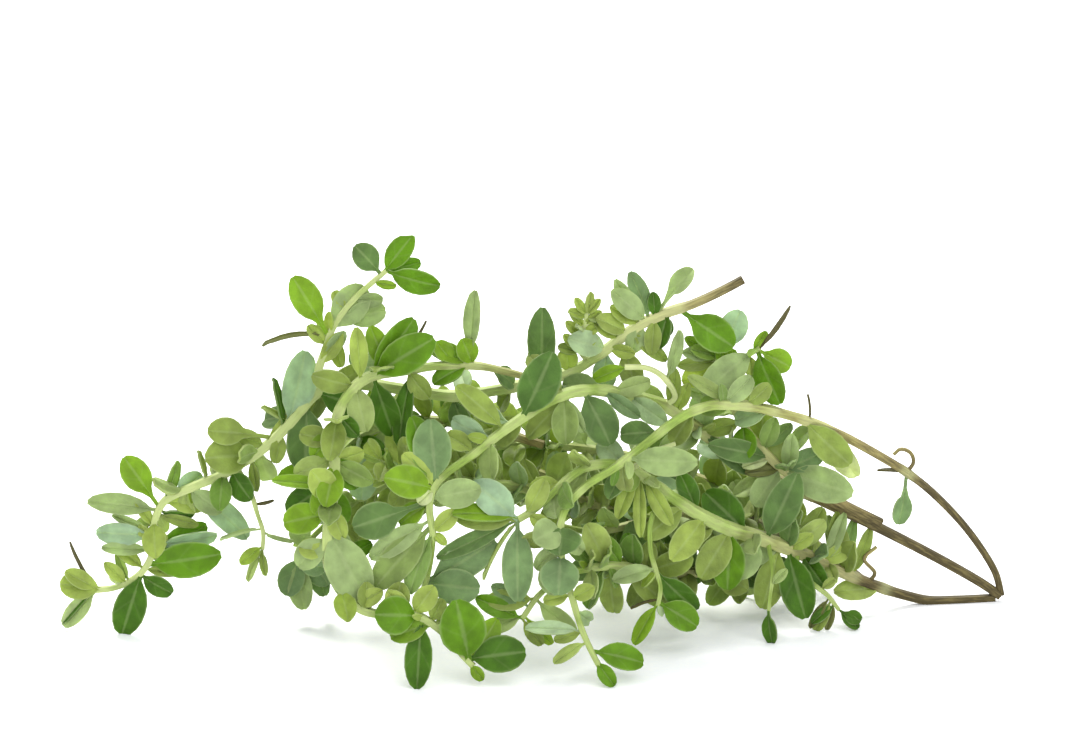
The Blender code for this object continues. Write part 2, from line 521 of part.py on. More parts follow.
def grow_bundle():
    """Every sprig's stems and leaves: first all stems, then the leaves that stand out, then the pairs."""
    draw = random.Random(SEED)
    crowd = Crowd()
    bundle = {}
    for sprig, designs in SPRIGS.items():
        stems = {}
        for name, design in designs.items():
            stems[name] = Stem(design, stems.get(design["parent"]))
            crowd.add(sprig, stem_shape(stems[name]))
        bundle[sprig] = (stems, [])
    for sprig, (stems, leaves) in bundle.items():
        for name, stem_ in stems.items():
            for place in SPRIGS[sprig][name]["leaves"]:
                leaf = placed_leaf(stem_, *place)
                if crowd.is_clear(sprig, leaf, of_own=False):
                    leaves.append(leaf)
                    crowd.add(sprig, leaf_shape(leaf))
    for sprig, (stems, leaves) in bundle.items():
        for name, stem_ in stems.items():
            pairs = SPRIGS[sprig][name]["pairs"]
            if pairs:
                leaves += grow_pairs(sprig, stem_, pairs, crowd, draw)
    return bundle


def mesh_object(name, shape):
    """A mesh object of points in millimetres and their faces."""
    points, faces = shape
    mesh = bpy.data.meshes.new(name)
    mesh.from_pydata([p * MM for p in points], [], faces)
    return bpy.data.objects.new(name, mesh)


def add_boolean(obj, operation):
    modifier = obj.modifiers.new(operation.title(), "BOOLEAN")
    modifier.operation = operation
    modifier.solver = "MANIFOLD"
    return modifier


def apply_modifiers(obj):
    """Give the object the mesh that its modifiers make, and take them off."""
    graph = bpy.context.evaluated_depsgraph_get()
    mesh = bpy.data.meshes.new_from_object(obj.evaluated_get(graph))
    obj.modifiers.clear()
    obj.data = mesh


def keep_largest(obj):
    """Drop loose scraps, and any hollow that joining the leaves has sealed."""
    mesh = bmesh.new()
    mesh.from_mesh(obj.data)
    left = set(mesh.verts)
    islands = []
    while left:
        edge = [left.pop()]
        island = []
        while edge:
            vert = edge.pop()
            island.append(vert)
            reached = {e.other_vert(vert) for e in vert.link_edges} & left
            left -= reached
            edge += reached
        islands.append(island)
    islands.sort(key=len)
    for island in islands[:-1]:
        bmesh.ops.delete(mesh, geom=island, context="VERTS")
    mesh.to_mesh(obj.data)
    mesh.free()


def sprig_object(name, stems, leaves, floor, material):
    """One sprig as one solid: its stems and leaves joined, and trimmed flat where it touches the table."""
    scene = bpy.context.scene.collection
    main_stem, *shoots = [stem_shape(s) for s in stems.values()]
    obj = mesh_object(name, main_stem)
    scene.objects.link(obj)
    growth = bpy.data.collections.new(name + "_growth")
    scene.children.link(growth)
    for shape in shoots + [leaf_shape(leaf) for leaf in leaves]:
        growth.objects.link(mesh_object(name + "_growth", shape))
    union = add_boolean(obj, "UNION")
    union.operand_type = "COLLECTION"
    union.collection = growth
    trim = add_boolean(obj, "DIFFERENCE")
    trim.object = floor
    apply_modifiers(obj)
    for piece in list(growth.objects):
        bpy.data.objects.remove(piece)
    bpy.data.collections.remove(growth)
    keep_largest(obj)
    obj.data.materials.append(material)
    return obj


def floor_cutter():
    """The table's top as a cutter: what dips into it is trimmed flat."""
    length, depth, thickness = FLOOR_SIZE
    bpy.ops.mesh.primitive_cube_add(size=1, location=(0, 0, -thickness / 2 * MM))
    floor = bpy.context.object
    floor.scale = (length * MM, depth * MM, thickness * MM)
    floor.hide_render = True
    floor.display_type = "WIRE"
    return floor


def leafy_material(name):
    material = bpy.data.materials.new(name)
    material.use_nodes = True
    shader = material.node_tree.nodes["Principled BSDF"]
    shader.inputs["Base Color"].default_value = (*LEAF_COLOURS[name], 1)
    shader.inputs["Roughness"].default_value = LEAF_ROUGHNESS
    shader.inputs["Metallic"].default_value = 0
    return material


def main():
    for obj in list(bpy.data.objects):
        bpy.data.objects.remove(obj)
    floor = floor_cutter()
    for sprig, (stems, leaves) in grow_bundle().items():
        sprig_object(sprig, stems, leaves, floor, leafy_material(sprig))
    bpy.data.objects.remove(floor)


if __name__ == "__main__":
    main()
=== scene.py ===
"""Thyme bundle, dressed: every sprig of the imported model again, with real leaves, stems and finishes.

Lengths in the design are millimetres until a mesh is made, +Z is up, and the bundle rests on z = 0.
The forked sprig's cut heel is at the +X end, and the leafy tips reach towards -X.

Every point is given as on an oblique front drawing: (across, rise, back). The drawing's rise climbs
with depth, so a point drawn at one rise sits lower the further back it is, as drawn() works out.
"""

import bisect
import json
import math
import random

import bmesh
import bpy
from mathutils import Matrix, Vector
from mathutils.bvhtree import BVHTree

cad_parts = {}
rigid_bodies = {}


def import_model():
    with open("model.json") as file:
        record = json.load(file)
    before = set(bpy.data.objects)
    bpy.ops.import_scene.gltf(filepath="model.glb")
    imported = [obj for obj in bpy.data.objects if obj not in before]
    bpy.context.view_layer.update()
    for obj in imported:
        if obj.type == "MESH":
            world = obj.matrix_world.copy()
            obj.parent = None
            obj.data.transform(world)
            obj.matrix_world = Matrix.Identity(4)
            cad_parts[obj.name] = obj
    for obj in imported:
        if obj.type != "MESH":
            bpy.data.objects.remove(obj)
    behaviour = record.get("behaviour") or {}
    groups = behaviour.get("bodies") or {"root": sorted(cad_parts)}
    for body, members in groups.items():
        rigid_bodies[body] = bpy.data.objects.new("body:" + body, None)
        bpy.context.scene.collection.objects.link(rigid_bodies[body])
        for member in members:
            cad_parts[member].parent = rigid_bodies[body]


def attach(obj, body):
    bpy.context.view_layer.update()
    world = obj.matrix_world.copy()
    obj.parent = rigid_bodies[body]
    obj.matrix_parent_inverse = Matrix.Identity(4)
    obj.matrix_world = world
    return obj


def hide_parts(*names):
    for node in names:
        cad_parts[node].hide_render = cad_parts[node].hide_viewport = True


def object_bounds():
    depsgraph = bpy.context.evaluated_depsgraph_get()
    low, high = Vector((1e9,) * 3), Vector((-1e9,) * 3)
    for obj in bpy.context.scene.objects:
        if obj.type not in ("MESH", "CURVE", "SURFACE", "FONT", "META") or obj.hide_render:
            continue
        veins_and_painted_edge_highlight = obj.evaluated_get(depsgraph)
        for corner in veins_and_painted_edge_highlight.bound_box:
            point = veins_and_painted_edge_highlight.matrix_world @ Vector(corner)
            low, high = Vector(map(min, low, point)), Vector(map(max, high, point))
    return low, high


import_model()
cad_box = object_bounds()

MM = 0.001
SEED = 7
RISE_PER_DEPTH = 0.325
ORIGIN_ACROSS, ORIGIN_BACK = 0.52, 3.89

# Leaf: a short stalk, then an oval blade. Shares are of the whole leaf's length.
STALK_SHARE = 0.17
WIDEST_SHARE = 0.5
SHOULDER_SHARE = 0.8
SHOULDER_WIDTH = 0.74
STALK_WIDTH = 0.8
BLADE_THICKNESS = 0.75
FLAT_SHARE = 0.3
SMALL_LEAF = 5.0
FOLD = math.radians(14)
BEND = 22

# Stem: square in section, as in all of the mint family. CORNER is a corner's reach for a radius of 1.
STEM_SPACING = 5.0
CORNER = 1.15
LINE_STEP = 0.5

# Room: leaves keep CLEARANCE to other sprigs, and a tip may dip DIP into the table, where it is trimmed.
CLEARANCE = 0.3
DIP = 0.5
BLADE_START = 0.4

# Pairs of leaves: the ranges that each leaf's draw is from, and the turns that are tried to find room.
SPREAD = (48, 78)
LIGHT_SHARE = (0.35, 0.95)
AWAY_SHARE = 0.1
LENGTH_SHARE = (0.85, 1.12)
WIDTH_SHARE = (0.52, 0.64)
GAP_SHARE = (0.85, 1.15)
WOBBLE = 15
TURNS = (0, 22, -22, 45, -45, 70, -70)
LIGHT_SIDE = Vector((0, -0.75, 0.66))
FRONT = Vector((0, -0.95, 0.31))

# A leaf that is drawn very narrow is a dry one, rolled up and brown.
DRY_WIDTH = 1.4
ROLLED = 0.45

# Young leaves in the angle between a leaf and its stem: how long the leaf has to be, how many there
# are, their sizes, and how far along the stem they start. They point partly ahead along the stem, out
# along the leaf and sideways, and they face back down the stem, to the light and a little to a side.
TUFT_NEEDS = 4.0
TUFT_COUNT = (0, 1, 1, 2, 2)
TUFT_LENGTH = (2.2, 4.4)
TUFT_WIDTH = (0.42, 0.58)
TUFT_BEND = (10, 40)
TUFT_OFFSET = (-0.3, 0.8)
TUFT_AHEAD, TUFT_OUT, TUFT_SIDEWAYS = (0.25, 1.0), (0.3, 0.9), (-0.6, 0.6)
TUFT_OPENS, TUFT_TO_LIGHT, TUFT_ROLL = 0.2, (0.4, 1.0), (-0.5, 0.5)

# Full-grown leaves that fill the heap, at FILLING_SHARE of the places FILLING_ROUND a stem. The face of
# each is tilted a random way by FILLING_TILT.
FILLING_LENGTH = (5.0, 8.0)
FILLING_SHARE = 0.6
FILLING_TILT = 0.7
FILLING_ROUND = (45, 135, 225, 315)

# The sprigs inside and behind the heap, which are filled, each with a group name that nothing reads.
FILLED = {
    "sprig_low": "inner_sprigs",
    "sprig_middle": "inner_sprigs",
    "sprig_left": "inner_sprigs",
    "sprig_inner": "inner_sprigs",
    "sprig_back_left": "back_sprigs",
    "sprig_back_right": "back_sprigs",
}

# Bare stretches of the stems in front, given by the drawn points at their ends. Of the leaves there,
# only those that stand out may point at the viewer, which is FACING or more towards FRONT.
FACING = 0.3
BARE = {
    ("sprig_forked", "upper_arm"): [((73.5, 6.7), (4.5, 17.5))],
    ("sprig_forked", "middle_arm"): [((73.3, 6.7), (48, 21)), ((25.5, 34.5), (-14, 26))],
    ("sprig_forked", "lower_arm"): [((72.5, 6.3), (54, 8)), ((31, 17.8), (18, 26))],
    ("sprig_long", "main_stem"): [((32.8, 58.4), (20, 52.8)), ((-6, 40.3), (-39, 33))],
    ("sprig_curled", "main_stem"): [((-4, 43.5), (-14, 44.4)), ((-31.4, 16.6), (-29, 8))],
}

# Leaf patterns: rows of (share of the length, share of the width). The halves arch up by CUP between
# the rib and ARCH_WIDTH of the width, over the stretch ARCH_LENGTH of the length.
USUAL_LENGTH, USUAL_WIDTH = 8.0, 4.6
BLADE_ROW = 0.20
LEAF_THICKNESS = 0.34
BROAD_ROWS = [(0.0, 0.13), (0.13, 0.15), (0.20, 0.40), (0.30, 0.72), (0.43, 0.94), (0.56, 1.0),
              (0.70, 0.96), (0.83, 0.79), (0.935, 0.52), (1.0, 0.18)]
NARROW_ROWS = [(0.0, 0.26), (0.12, 0.32), (0.28, 0.84), (0.50, 1.0), (0.74, 0.86), (0.91, 0.54), (1.0, 0.14)]
CUP = 0.22
ARCH_WIDTH = 0.3
ARCH_LENGTH = (STALK_SHARE, 0.97)

# Stems: how square the section is, and how much thicker a joint is over what length. A stem is cut
# into runs, and each run into rings.
STEM_SIDES = 8
RUN_LENGTH, RUN_RINGS = 12.0, 20
SQUARENESS = 0.09
JOINT_SWELLING = 0.13
JOINT_LENGTH = 1.1
SMOOTH_UP_TO = math.radians(55)

# Each sprig's looks: its main stems as (woody up to, turning green over) in millimetres, and the cast
# of its leaves as (tone from deep to bluish, how fresh its tips are, how much the leaves differ).
LOOKS = {
    "sprig_forked": ((22, 50), (0.62, 0.35, 0.26)),
    "sprig_long": ((0, 28), (0.64, 0.5, 0.24)),
    "sprig_curled": ((-20, 40), (0.5, 0.7, 0.24)),
    "sprig_crown": ((0, 40), (0.46, 0.5, 0.2)),
    "sprig_low": ((5, 40), (0.42, 0.5, 0.2)),
    "sprig_back_left": ((5, 45), (0.55, 0.5, 0.24)),
    "sprig_back_right": ((10, 50), (0.58, 0.6, 0.2)),
    "sprig_middle": ((0, 40), (0.58, 0.6, 0.2)),
    "sprig_left": ((-10, 40), (0.48, 0.8, 0.24)),
    "sprig_inner": ((10, 45), (0.55, 0.6, 0.2)),
}

# The wood of side shoots and of some stems, and how much paler the green part of these stems is.
WOODY_SHOOT = (-18, 20)
WOODY_STEMS = {"lower_arm": (20, 32), "heel_twig": (0, 20), "hooked_twig": (0, 20)}
PALENESS = {"sprig_long": 0.9, "sprig_curled": 0.4, "pale_stalk": 2.6, "pale_stub": 2.6}

# Leaves are fresher within about FRESH_OVER of a stem's tip, and young ones are fresher anywhere.
FRESH_OVER = 30
YOUNG_FRESHER = 0.25
FRESH_SPREAD = 0.18

# Kinds of leaves that differ from the rest of their sprig: (tone, freshness, how withered).
KINDS = {
    "vivid": (0.24, 0.95, 0),
    "rich": (0.0, 0.9, 0),
    "deep": (0.0, 0.1, 0),
    "slate": (0.2, 0.0, 0),
    "dark": (0.1, 0.0, 0),
    "olive": (0.42, 0.1, 0),
    "light": (0.62, 0.5, 0),
    "sage": (0.75, 0.0, 0),
    "bluish": (1.0, 0.0, 0),
    "pale": (1.0, 0.9, 0),
    "dusky": (0.3, 0.0, 0),
    "bright": (0.65, 1.0, 0),
    "withered": (0.4, 0.0, 0.7),
    "dry": (0.4, 0.0, 1),
}

# Camera: millimetres across the view and the height it looks at, and its distance in metres.
CAMERA_TILT = 18
CAMERA_DISTANCE = 2.0
VIEW_WIDTH = 164.3077
AIM_HEIGHT = 42.4


def drawn(across, rise, back):
    """The place in millimetres of a point on the oblique drawing."""
    return Vector((across - ORIGIN_ACROSS, back - ORIGIN_BACK, rise - RISE_PER_DEPTH * back))


def smooth_line(points):
    """A smooth curve through the points, as points LINE_STEP apart."""
    knots = [2 * points[0] - points[1], *points, 2 * points[-1] - points[-2]]
    line = [points[0]]
    for a, b, c, d in zip(knots, knots[1:], knots[2:], knots[3:]):
        steps = max(2, round((c - b).length / LINE_STEP))
        for step in range(1, steps + 1):
            t = step / steps
            bend = (2 * a - 5 * b + 4 * c - d) * t**2 + (3 * b - a - 3 * c + d) * t**3
            line.append(b + ((c - a) * t + bend) / 2)
    return line


def level_side(ahead):
    """The direction square to a stem that lies nearest to straight back."""
    return (Vector((0, 1, 0)) - ahead.y * ahead).normalized()


class Stem:
    """One stem of a sprig: its centre line, and its radius and direction at a distance along it."""

    def __init__(self, name, route, radii, pairs, rows, parent):
        self.name, self.radii, self.pairs, self.rows, self.parent = name, radii, pairs, rows, parent
        points = [drawn(*p) for p in route]
        if parent:
            points.insert(0, min(parent.line, key=lambda p: (p - points[0]).length))
        self.line = smooth_line(points)
        self.along = [0.0]
        for a, b in zip(self.line, self.line[1:]):
            self.along.append(self.along[-1] + (b - a).length)
        self.length = self.along[-1]

    def distance_of(self, across, rise):
        """How far along the stem the point lies that is drawn nearest to (across, rise)."""
        def gap(i):
            p = self.line[i]
            return math.hypot(p.x + ORIGIN_ACROSS - across, p.z + RISE_PER_DEPTH * (p.y + ORIGIN_BACK) - rise)
        return self.along[min(range(len(self.line)), key=gap)]

    def index(self, distance):
        return min(range(len(self.along)), key=lambda i: abs(self.along[i] - distance))

    def point(self, distance):
        return self.line[self.index(distance)]

    def at(self, distance):
        """The point at a distance, between the line's own points."""
        distance = min(self.length, max(0, distance))
        i = min(len(self.line) - 2, bisect.bisect_right(self.along, distance) - 1)
        share = (distance - self.along[i]) / (self.along[i + 1] - self.along[i])
        return self.line[i].lerp(self.line[i + 1], share)

    def direction(self, distance):
        i = min(self.index(distance), len(self.line) - 2)
        return (self.line[i + 1] - self.line[max(i - 1, 0)]).normalized()

    def radius(self, distance):
        share = 2 * distance / self.length
        root, middle, tip = self.radii
        return root + (middle - root) * share if share < 1 else middle + (tip - middle) * (share - 1)


SPRIGS = {}


def add_stem(sprig, name, route, radii, pairs=None, rows=(), parent=None):
    """A stem or side shoot of a sprig, which grows from its parent if it has one.

    radii are at its root, middle and tip. pairs is (first pair's distance, last pair's distance, gap,
    leaf length at the first pair, leaf length at the tip, roll of the first pair). rows are the leaves
    that stand out, as placed_leaf() takes them.
    """
    stems = SPRIGS.setdefault(sprig, {})
    stems[name] = Stem(name, route, radii, pairs, rows, stems.get(parent))


add_stem("sprig_forked", "upper_arm", [
    (73.5, 6.7, 18), (72.3, 11, 18.5), (68.5, 17, 18), (64, 22.2, 17), (59.5, 26.2, 15), (54, 29.8, 13),
    (47.5, 33.4, 10), (41, 36, 7), (34, 37.8, 3), (28, 38, -1), (23, 36, -4), (18, 32, -7), (13, 28, -9),
    (8.5, 25, -11), (5.5, 21.5, -13), (4.5, 17.5, -15), (5, 12, -17), (6.5, 6.5, -19), (7.8, 2, -20.5),
    (9.5, -2, -21.5), (10.5, -4, -22),
], (0.62, 0.8, 0.45), (54, 104, 7.5, 7, 5, 60), [
    (58.3, 26.8, 53.8, 27.3, 0, 1.4, 50), (58.3, 26.8, 57, 18.5, -1, 2.8, -30, "dusky", 3.4, 0.45),
    (42.9, 35.2, 42.8, 39.8, 0, 1.2, 85), (45.5, 34.2, 50.6, 26.4, 2.5, 4.6, 20, "pale", 4),
    (44.5, 34.8, 40.5, 30.8, 3, 3.4, 40), (15.2, 29.4, 25.6, 28.9, -3, 4.8, 10, "sage"),
    (31, 38, 24.2, 42.6, 1, 2.4, 20), (29.5, 38, 34, 42.6, 3, 3.4, 20), (5, 18, 0.4, 16.2, -4, 5.2, 5, "sage"),
    (5.2, 13.5, 3.2, 7.4, -3, 5.4, 10, "sage"), (9, -1.5, 17.2, -3.6, 2, 4.4, -20, "rich"),
    (8.5, 0, 3.6, -3.6, 0, 2.2, 30), (10, -3, 12.8, -7.2, -1, 2.6, 0, "rich"), (7.8, 1.5, -0.8, 2, 1, 2.6, 35),
    (6.8, 5, 9, 3.2, 3, 2.6, 0),
])
add_stem("sprig_forked", "middle_arm", [
    (73.3, 6.7, 18), (70, 9, 17.5), (65, 12, 17), (60, 14.8, 16), (54, 18, 15), (48, 21, 14), (42, 24, 13),
    (36, 27, 12), (30, 31, 11), (25.5, 34.5, 9), (21, 37.8, 7), (16, 39.4, 4), (11, 40.4, 1), (6, 40, -2),
    (1, 37.5, -5), (-4, 34, -8), (-9, 30, -11), (-14, 26, -14), (-15.5, 22, -15), (-15, 17, -16),
    (-15.5, 12, -16), (-16.5, 8, -16),
], (0.78, 1, 0.45), (36, 99, 7, 8, 6.5, 20), [
    (-1.5, 36.5, 3.4, 46.6, -2, 6.4, 8, "dark"), (8, 40.2, 12.2, 31.6, -2, 5.8, -12, "slate"),
    (7, 40, -0.4, 32.6, -1, 4.2, 25), (12.5, 40.5, 18.4, 42, 2, 3.2, 20), (15, 39.6, 21, 35.2, -2, 3.6, 15),
    (-8.5, 30.5, -13, 33.2, 3, 3.4, 20), (-15, 24.5, -22.4, 26.4, -3, 5.4, 12, "vivid"),
    (-14.8, 25.5, -15.2, 35.8, 1, 5.6, -10, "dusky", 6.2), (-15, 25, -18.2, 36.2, 3, 4.8, 12, "rich"),
    (-15.2, 22.5, -27.2, 18.4, -2, 6, -8, "slate", None, 0.46), (-15.2, 22, -20, 18.8, 1, 4, 30, "vivid"),
    (-15, 23, -7.6, 24.6, -1, 4.8, 5, "sage"), (-15, 18.8, -23.8, 8.6, -2, 5.6, 12),
    (-15, 17.5, -18.4, 7.6, -4, 3.8, 25), (-16, 9.4, -5.4, 16.2, 2, 5.6, 10, "dusky"),
    (-16, 9.4, -7.8, 8.4, -1, 5.8, 5, "dusky"), (-4, 34, -11.5, 41, 2, 4, 20),
    (-3, 35, -9.5, 38.8, 5, 3.4, -20),
])
add_stem("sprig_forked", "lower_arm", [
    (72.5, 6.35, 18), (69.5, 6.15, 17.5), (66, 5.98, 17), (62, 5.95, 16.5), (58, 6.9, 16), (54.5, 8.1, 15),
    (50, 10, 13), (45.5, 12.2, 10.5), (41, 14.2, 8), (36, 16.2, 5), (31, 17.8, 2), (26.5, 20, 0),
    (22, 23, -1.5), (18, 26, -2.5), (14.5, 28, -3), (11, 28.5, -5), (7.5, 27.5, -7), (4, 24.5, -9.5),
    (1, 21.5, -12), (-2, 19.5, -14),
], (0.66, 1.1, 0.5), (26, 84, 6.2, 6.5, 6.5, 75), [
    (55, 8.2, 47.2, 7.4, -2, 3.6, 10), (47.5, 11.4, 46.2, 20, 2, 2.4, 20), (46.5, 12, 47.4, 9, -5, 2.4, 10),
    (48, 11, 50.2, 19.6, 3, 2.2, 30), (42, 13.8, 45.8, 8.2, -3, 3.4, 10, "deep"),
    (40, 14.6, 42.6, 3.2, -4, 5.6, 5, "deep"), (40, 14.6, 45.6, 19.2, 2, 3.6, 25),
    (39, 14.9, 30.6, 12.2, -2, 4.4, 15), (38.6, 15, 36, 4.8, -1, 4.8, 0, "olive"),
    (36.5, 16, 41.2, 27, -3, 5.6, 5, "slate"), (33.5, 16.8, 27, 23.8, 3, 5.6, 5, "deep"),
    (31, 17.8, 30.4, 8, -3, 5.4, 5, "rich"), (25.5, 20.4, 23, 27, 2, 3.4, 10, "deep"),
    (17, 26.5, 17, 16.6, -5, 2.2, 20, "light"), (17.5, 26.3, 21.8, 18.6, -3, 2.8, 10, "light"),
    (16, 27, 13.4, 19.6, -3, 2.6, 10, "light"), (-2, 19.5, -8.8, 25.6, 0, 5.2, 8, "bluish"),
    (-1.5, 19.8, -12, 20.4, -3, 3.6, 40, "vivid"), (-2, 19.5, -2, 6.4, -5, 5, 0, "dusky"),
    (-1.5, 19.8, -7.2, 9.8, -2, 1.6, 80), (-1, 20.2, 2.2, 26, 2, 3.4, 10),
])
add_stem("sprig_forked", "drooping_shoot", [
    (18.6, 19.5, -5), (18.4, 15, -6), (19.2, 11.5, -7), (20, 8.5, -7.5), (19.6, 5.5, -8),
], (0.5, 0.45, 0.35), None, [
    (19.3, 11, 25.6, 4.8, 2, 4.2, 10, "deep"), (19.6, 5.8, 16, -0.8, -1, 2.6, 15, "vivid"),
    (19.7, 5.8, 25.6, 2.1, 0, 3.8, -15, "rich", 4.6), (19.8, 6.5, 15.4, 5, 1, 1.2, 70),
    (19.2, 11.3, 12.6, 9.6, -3, 3, 20),
], "lower_arm")
add_stem("sprig_forked", "right_shoot", [
    (41.5, 11, 5.5), (43.8, 8.8, 4.5), (46, 7, 4), (47.8, 4.6, 4),
], (0.45, 0.4, 0.3), None, [
    (47.8, 4.6, 51.2, 2.8, 0, 2.4, 0, "deep", None, 0.35), (47.2, 5.4, 43.6, 2.4, -1, 2, 20, "deep"),
    (45, 7.8, 47.2, 9.6, 1, 1.6, 0),
], "lower_arm")
add_stem("sprig_forked", "drop_shoot", [
    (37.4, 11, 1), (37, 7, -1.5), (36.8, 4.6, -2),
], (0.4, 0.35, 0.3), None, [
    (36.8, 4.8, 37.5, -0.8, 0, 2.6, 30, "deep"), (37.2, 9, 39.6, 11.4, 0, 1.6, 10),
], "lower_arm")
add_stem("sprig_forked", "heel_twig", [
    (53.6, 10.5, 14), (51.9, 12.8, 13), (53.8, 14.8, 13),
], (0.36, 0.32, 0.3), None, [], "lower_arm")
add_stem("sprig_forked", "hooked_twig", [
    (59.5, 28.6, 15), (59, 30.2, 15), (57.5, 30.8, 15), (56.4, 29.9, 15),
], (0.36, 0.34, 0.3), None, [], "upper_arm")
add_stem("sprig_forked", "pale_stalk", [
    (22.3, 39.5, 6), (20.6, 42.4, 5), (18, 44, 4), (14.5, 44.2, 4),
], (0.55, 0.5, 0.4), None, [
    (14.8, 44.2, 9.6, 42, 0, 2.6, 20, "vivid"), (21, 42, 22.9, 50.2, 1, 2.4, 35, "sage"),
], "middle_arm")
add_stem("sprig_forked", "pale_stub", [
    (16.5, 28.4, -4.5), (19.3, 30.6, -6), (22.2, 31.8, -6.5),
], (0.45, 0.4, 0.35), None, [], "lower_arm")
add_stem("sprig_long", "main_stem", [
    (32.8, 58.4, 10), (29, 56.3, 9.5), (25, 54.4, 9), (20.5, 52.8, 8.5), (16, 50.5, 8), (11, 46.5, 7.5),
    (6, 43.3, 7.5), (0, 41.6, 8), (-6, 40.3, 8.5), (-12, 39.5, 9), (-18, 40.3, 9), (-24, 41.2, 8),
    (-29, 41.4, 6), (-33, 40, 4), (-36, 36.5, 2), (-39, 33, 1), (-42.5, 30, 1), (-47, 27, 1), (-52, 24.8, 2),
    (-56.5, 22.5, 3), (-58.3, 18.5, 3), (-58.5, 14, 3), (-60.5, 10.5, 3.5), (-64, 8.4, 4), (-67.7, 7.8, 4.5),
], (0.75, 0.95, 0.45), (24, 112, 7.5, 7, 5.5, 60), [
    (21.5, 53.2, 20, 47.2, -2, 3.2, 30, "deep"), (19.2, 52.4, 25.2, 60, 1, 2.8, -40, "sage", 3.8, 0.5),
    (18.5, 51.8, 15.2, 59.6, 1, 3.2, 20, "dusky"), (18, 51.5, 12.4, 56.6, -2, 3.8, 10, "sage"),
    (15, 49.8, 10, 52, -2, 3.4, 25), (23, 53.6, 31.3, 47.4, -2, 5.6, 0, "rich", None, 0.32),
    (2, 42, 1.9, 53.9, -1, 4.2, -10, "slate", 4.6), (-12, 39.6, -9.8, 33.4, 0, 3.6, 20, "slate"),
    (-32.4, 40.3, -25.6, 44.4, 3, 3.6, 20), (-32.8, 40, -24.6, 37.4, -2, 5.4, 0, "deep"),
    (-34.4, 38.4, -34.8, 27, -3, 6.2, 0, "slate"), (-37.6, 34.8, -34.8, 46.8, 4, 5.6, 20, "bluish"),
    (-38.5, 33.6, -39.8, 42.4, 1, 1.9, 55, "deep"), (-39.5, 32.6, -49.8, 33.8, -1, 3.8, 15, "olive", 4.6, 0.5),
    (-43, 29.6, -50.2, 29.4, -3, 6, 10, "olive"), (-46, 27.6, -43, 22.6, -3, 4, 20, "deep"),
    (-50, 25.7, -51.5, 30.6, 2, 1.4, 60, "olive"), (-52.5, 24.5, -43.8, 16.4, 1, 4.2, -15, "bluish"),
    (-57, 22.2, -54.6, 29, 1, 2.2, 40), (-57.4, 21.4, -62.8, 29.6, 1, 3.8, 0, "vivid", 4.6, 0.38),
    (-57.6, 20.8, -68.5, 22.2, -1, 3, 20, "sage", 3.6), (-58.4, 17, -67.2, 17.4, 1, 3, -15, "bluish", 3.8),
    (-58.5, 15.5, -48.6, 17, 2, 2.8, 40, "bluish", 3.4), (-59.4, 12.2, -47.8, 13.8, -3, 5.8, 10, "rich"),
    (-60.3, 10.8, -63.4, 0.6, -1, 5.2, 0, "deep"), (-60.5, 10.5, -55.6, 7.4, 1, 3.4, 20, "deep"),
    (-66.5, 8.1, -73, 8.8, 0, 4.6, 10, "light"), (-67.3, 8, -72.4, 1.9, 0, 3.2, 10),
    (-67.4, 8, -71.4, 15.8, 1, 1.4, -50), (-62, 9.4, -64, 14, 0, 1.6, -30),
])
add_stem("sprig_long", "upright_shoot", [
    (-32.8, 43, 3), (-31.6, 47, 3), (-30.5, 50.5, 4), (-28, 54.3, 5), (-25, 57.3, 5.5), (-22.2, 59.8, 6),
], (0.7, 0.55, 0.4), None, [
    (-31, 49, -36.6, 58.8, 0, 4.2, 5, "vivid", 4.8, 0.36),
    (-31.2, 49, -41.6, 47.5, 0, 1.6, 60, "withered", 1.3, None, 50),
    (-30.6, 50, -25.6, 57.2, 3, 4.6, 0, "sage", 5.6), (-29.5, 52, -22.4, 53.4, 2, 4.2, 10, "sage"),
    (-31.8, 46, -28.6, 50, 0, 2.4, 20), (-23, 59, -27.1, 63.8, 0, 3.6, 10, "slate", 4.2, 0.28),
    (-22.4, 59.6, -18, 65.5, 0, 3.3, -10, "rich", 3.9), (-22.3, 59.7, -13.9, 57.4, -1, 3.8, 30, "rich", 4.4),
    (-22.4, 59.7, -17, 61.2, 2, 2.6, 10, "rich"), (-24, 58.2, -20.6, 57.4, -1, 1.6, 30),
], "main_stem")
add_stem("sprig_long", "hanging_shoot", [
    (-43.2, 24, -0.5), (-42.2, 20.5, -1), (-41.3, 17.4, -1), (-41.4, 14.6, -1),
], (0.42, 0.38, 0.32), None, [
    (-41.4, 17.8, -48, 16, 1, 1.4, 60, "sage", 0.9), (-41.3, 17.6, -36.6, 16, 0, 1.3, 60, "sage", 0.9),
    (-41.4, 15, -44.8, 12.2, -1, 2.2, 10), (-41.4, 14.8, -43.6, 9.3, 1, 1.5, 40),
    (-41.4, 14.8, -40.8, 10.3, -1, 1.4, 30, "olive"), (-42.6, 22, -39.6, 22.6, 1, 1.3, 50),
], "main_stem")
add_stem("sprig_long", "feather_shoot", [
    (7.6, 47, 7), (8.2, 50.5, 7), (8.9, 54, 7),
], (0.4, 0.36, 0.3), (2, 8, 2.6, 3.8, 2.8, 90), [
    (8.6, 52.5, 9.2, 56.4, 0, 1.6, 30),
], "main_stem")
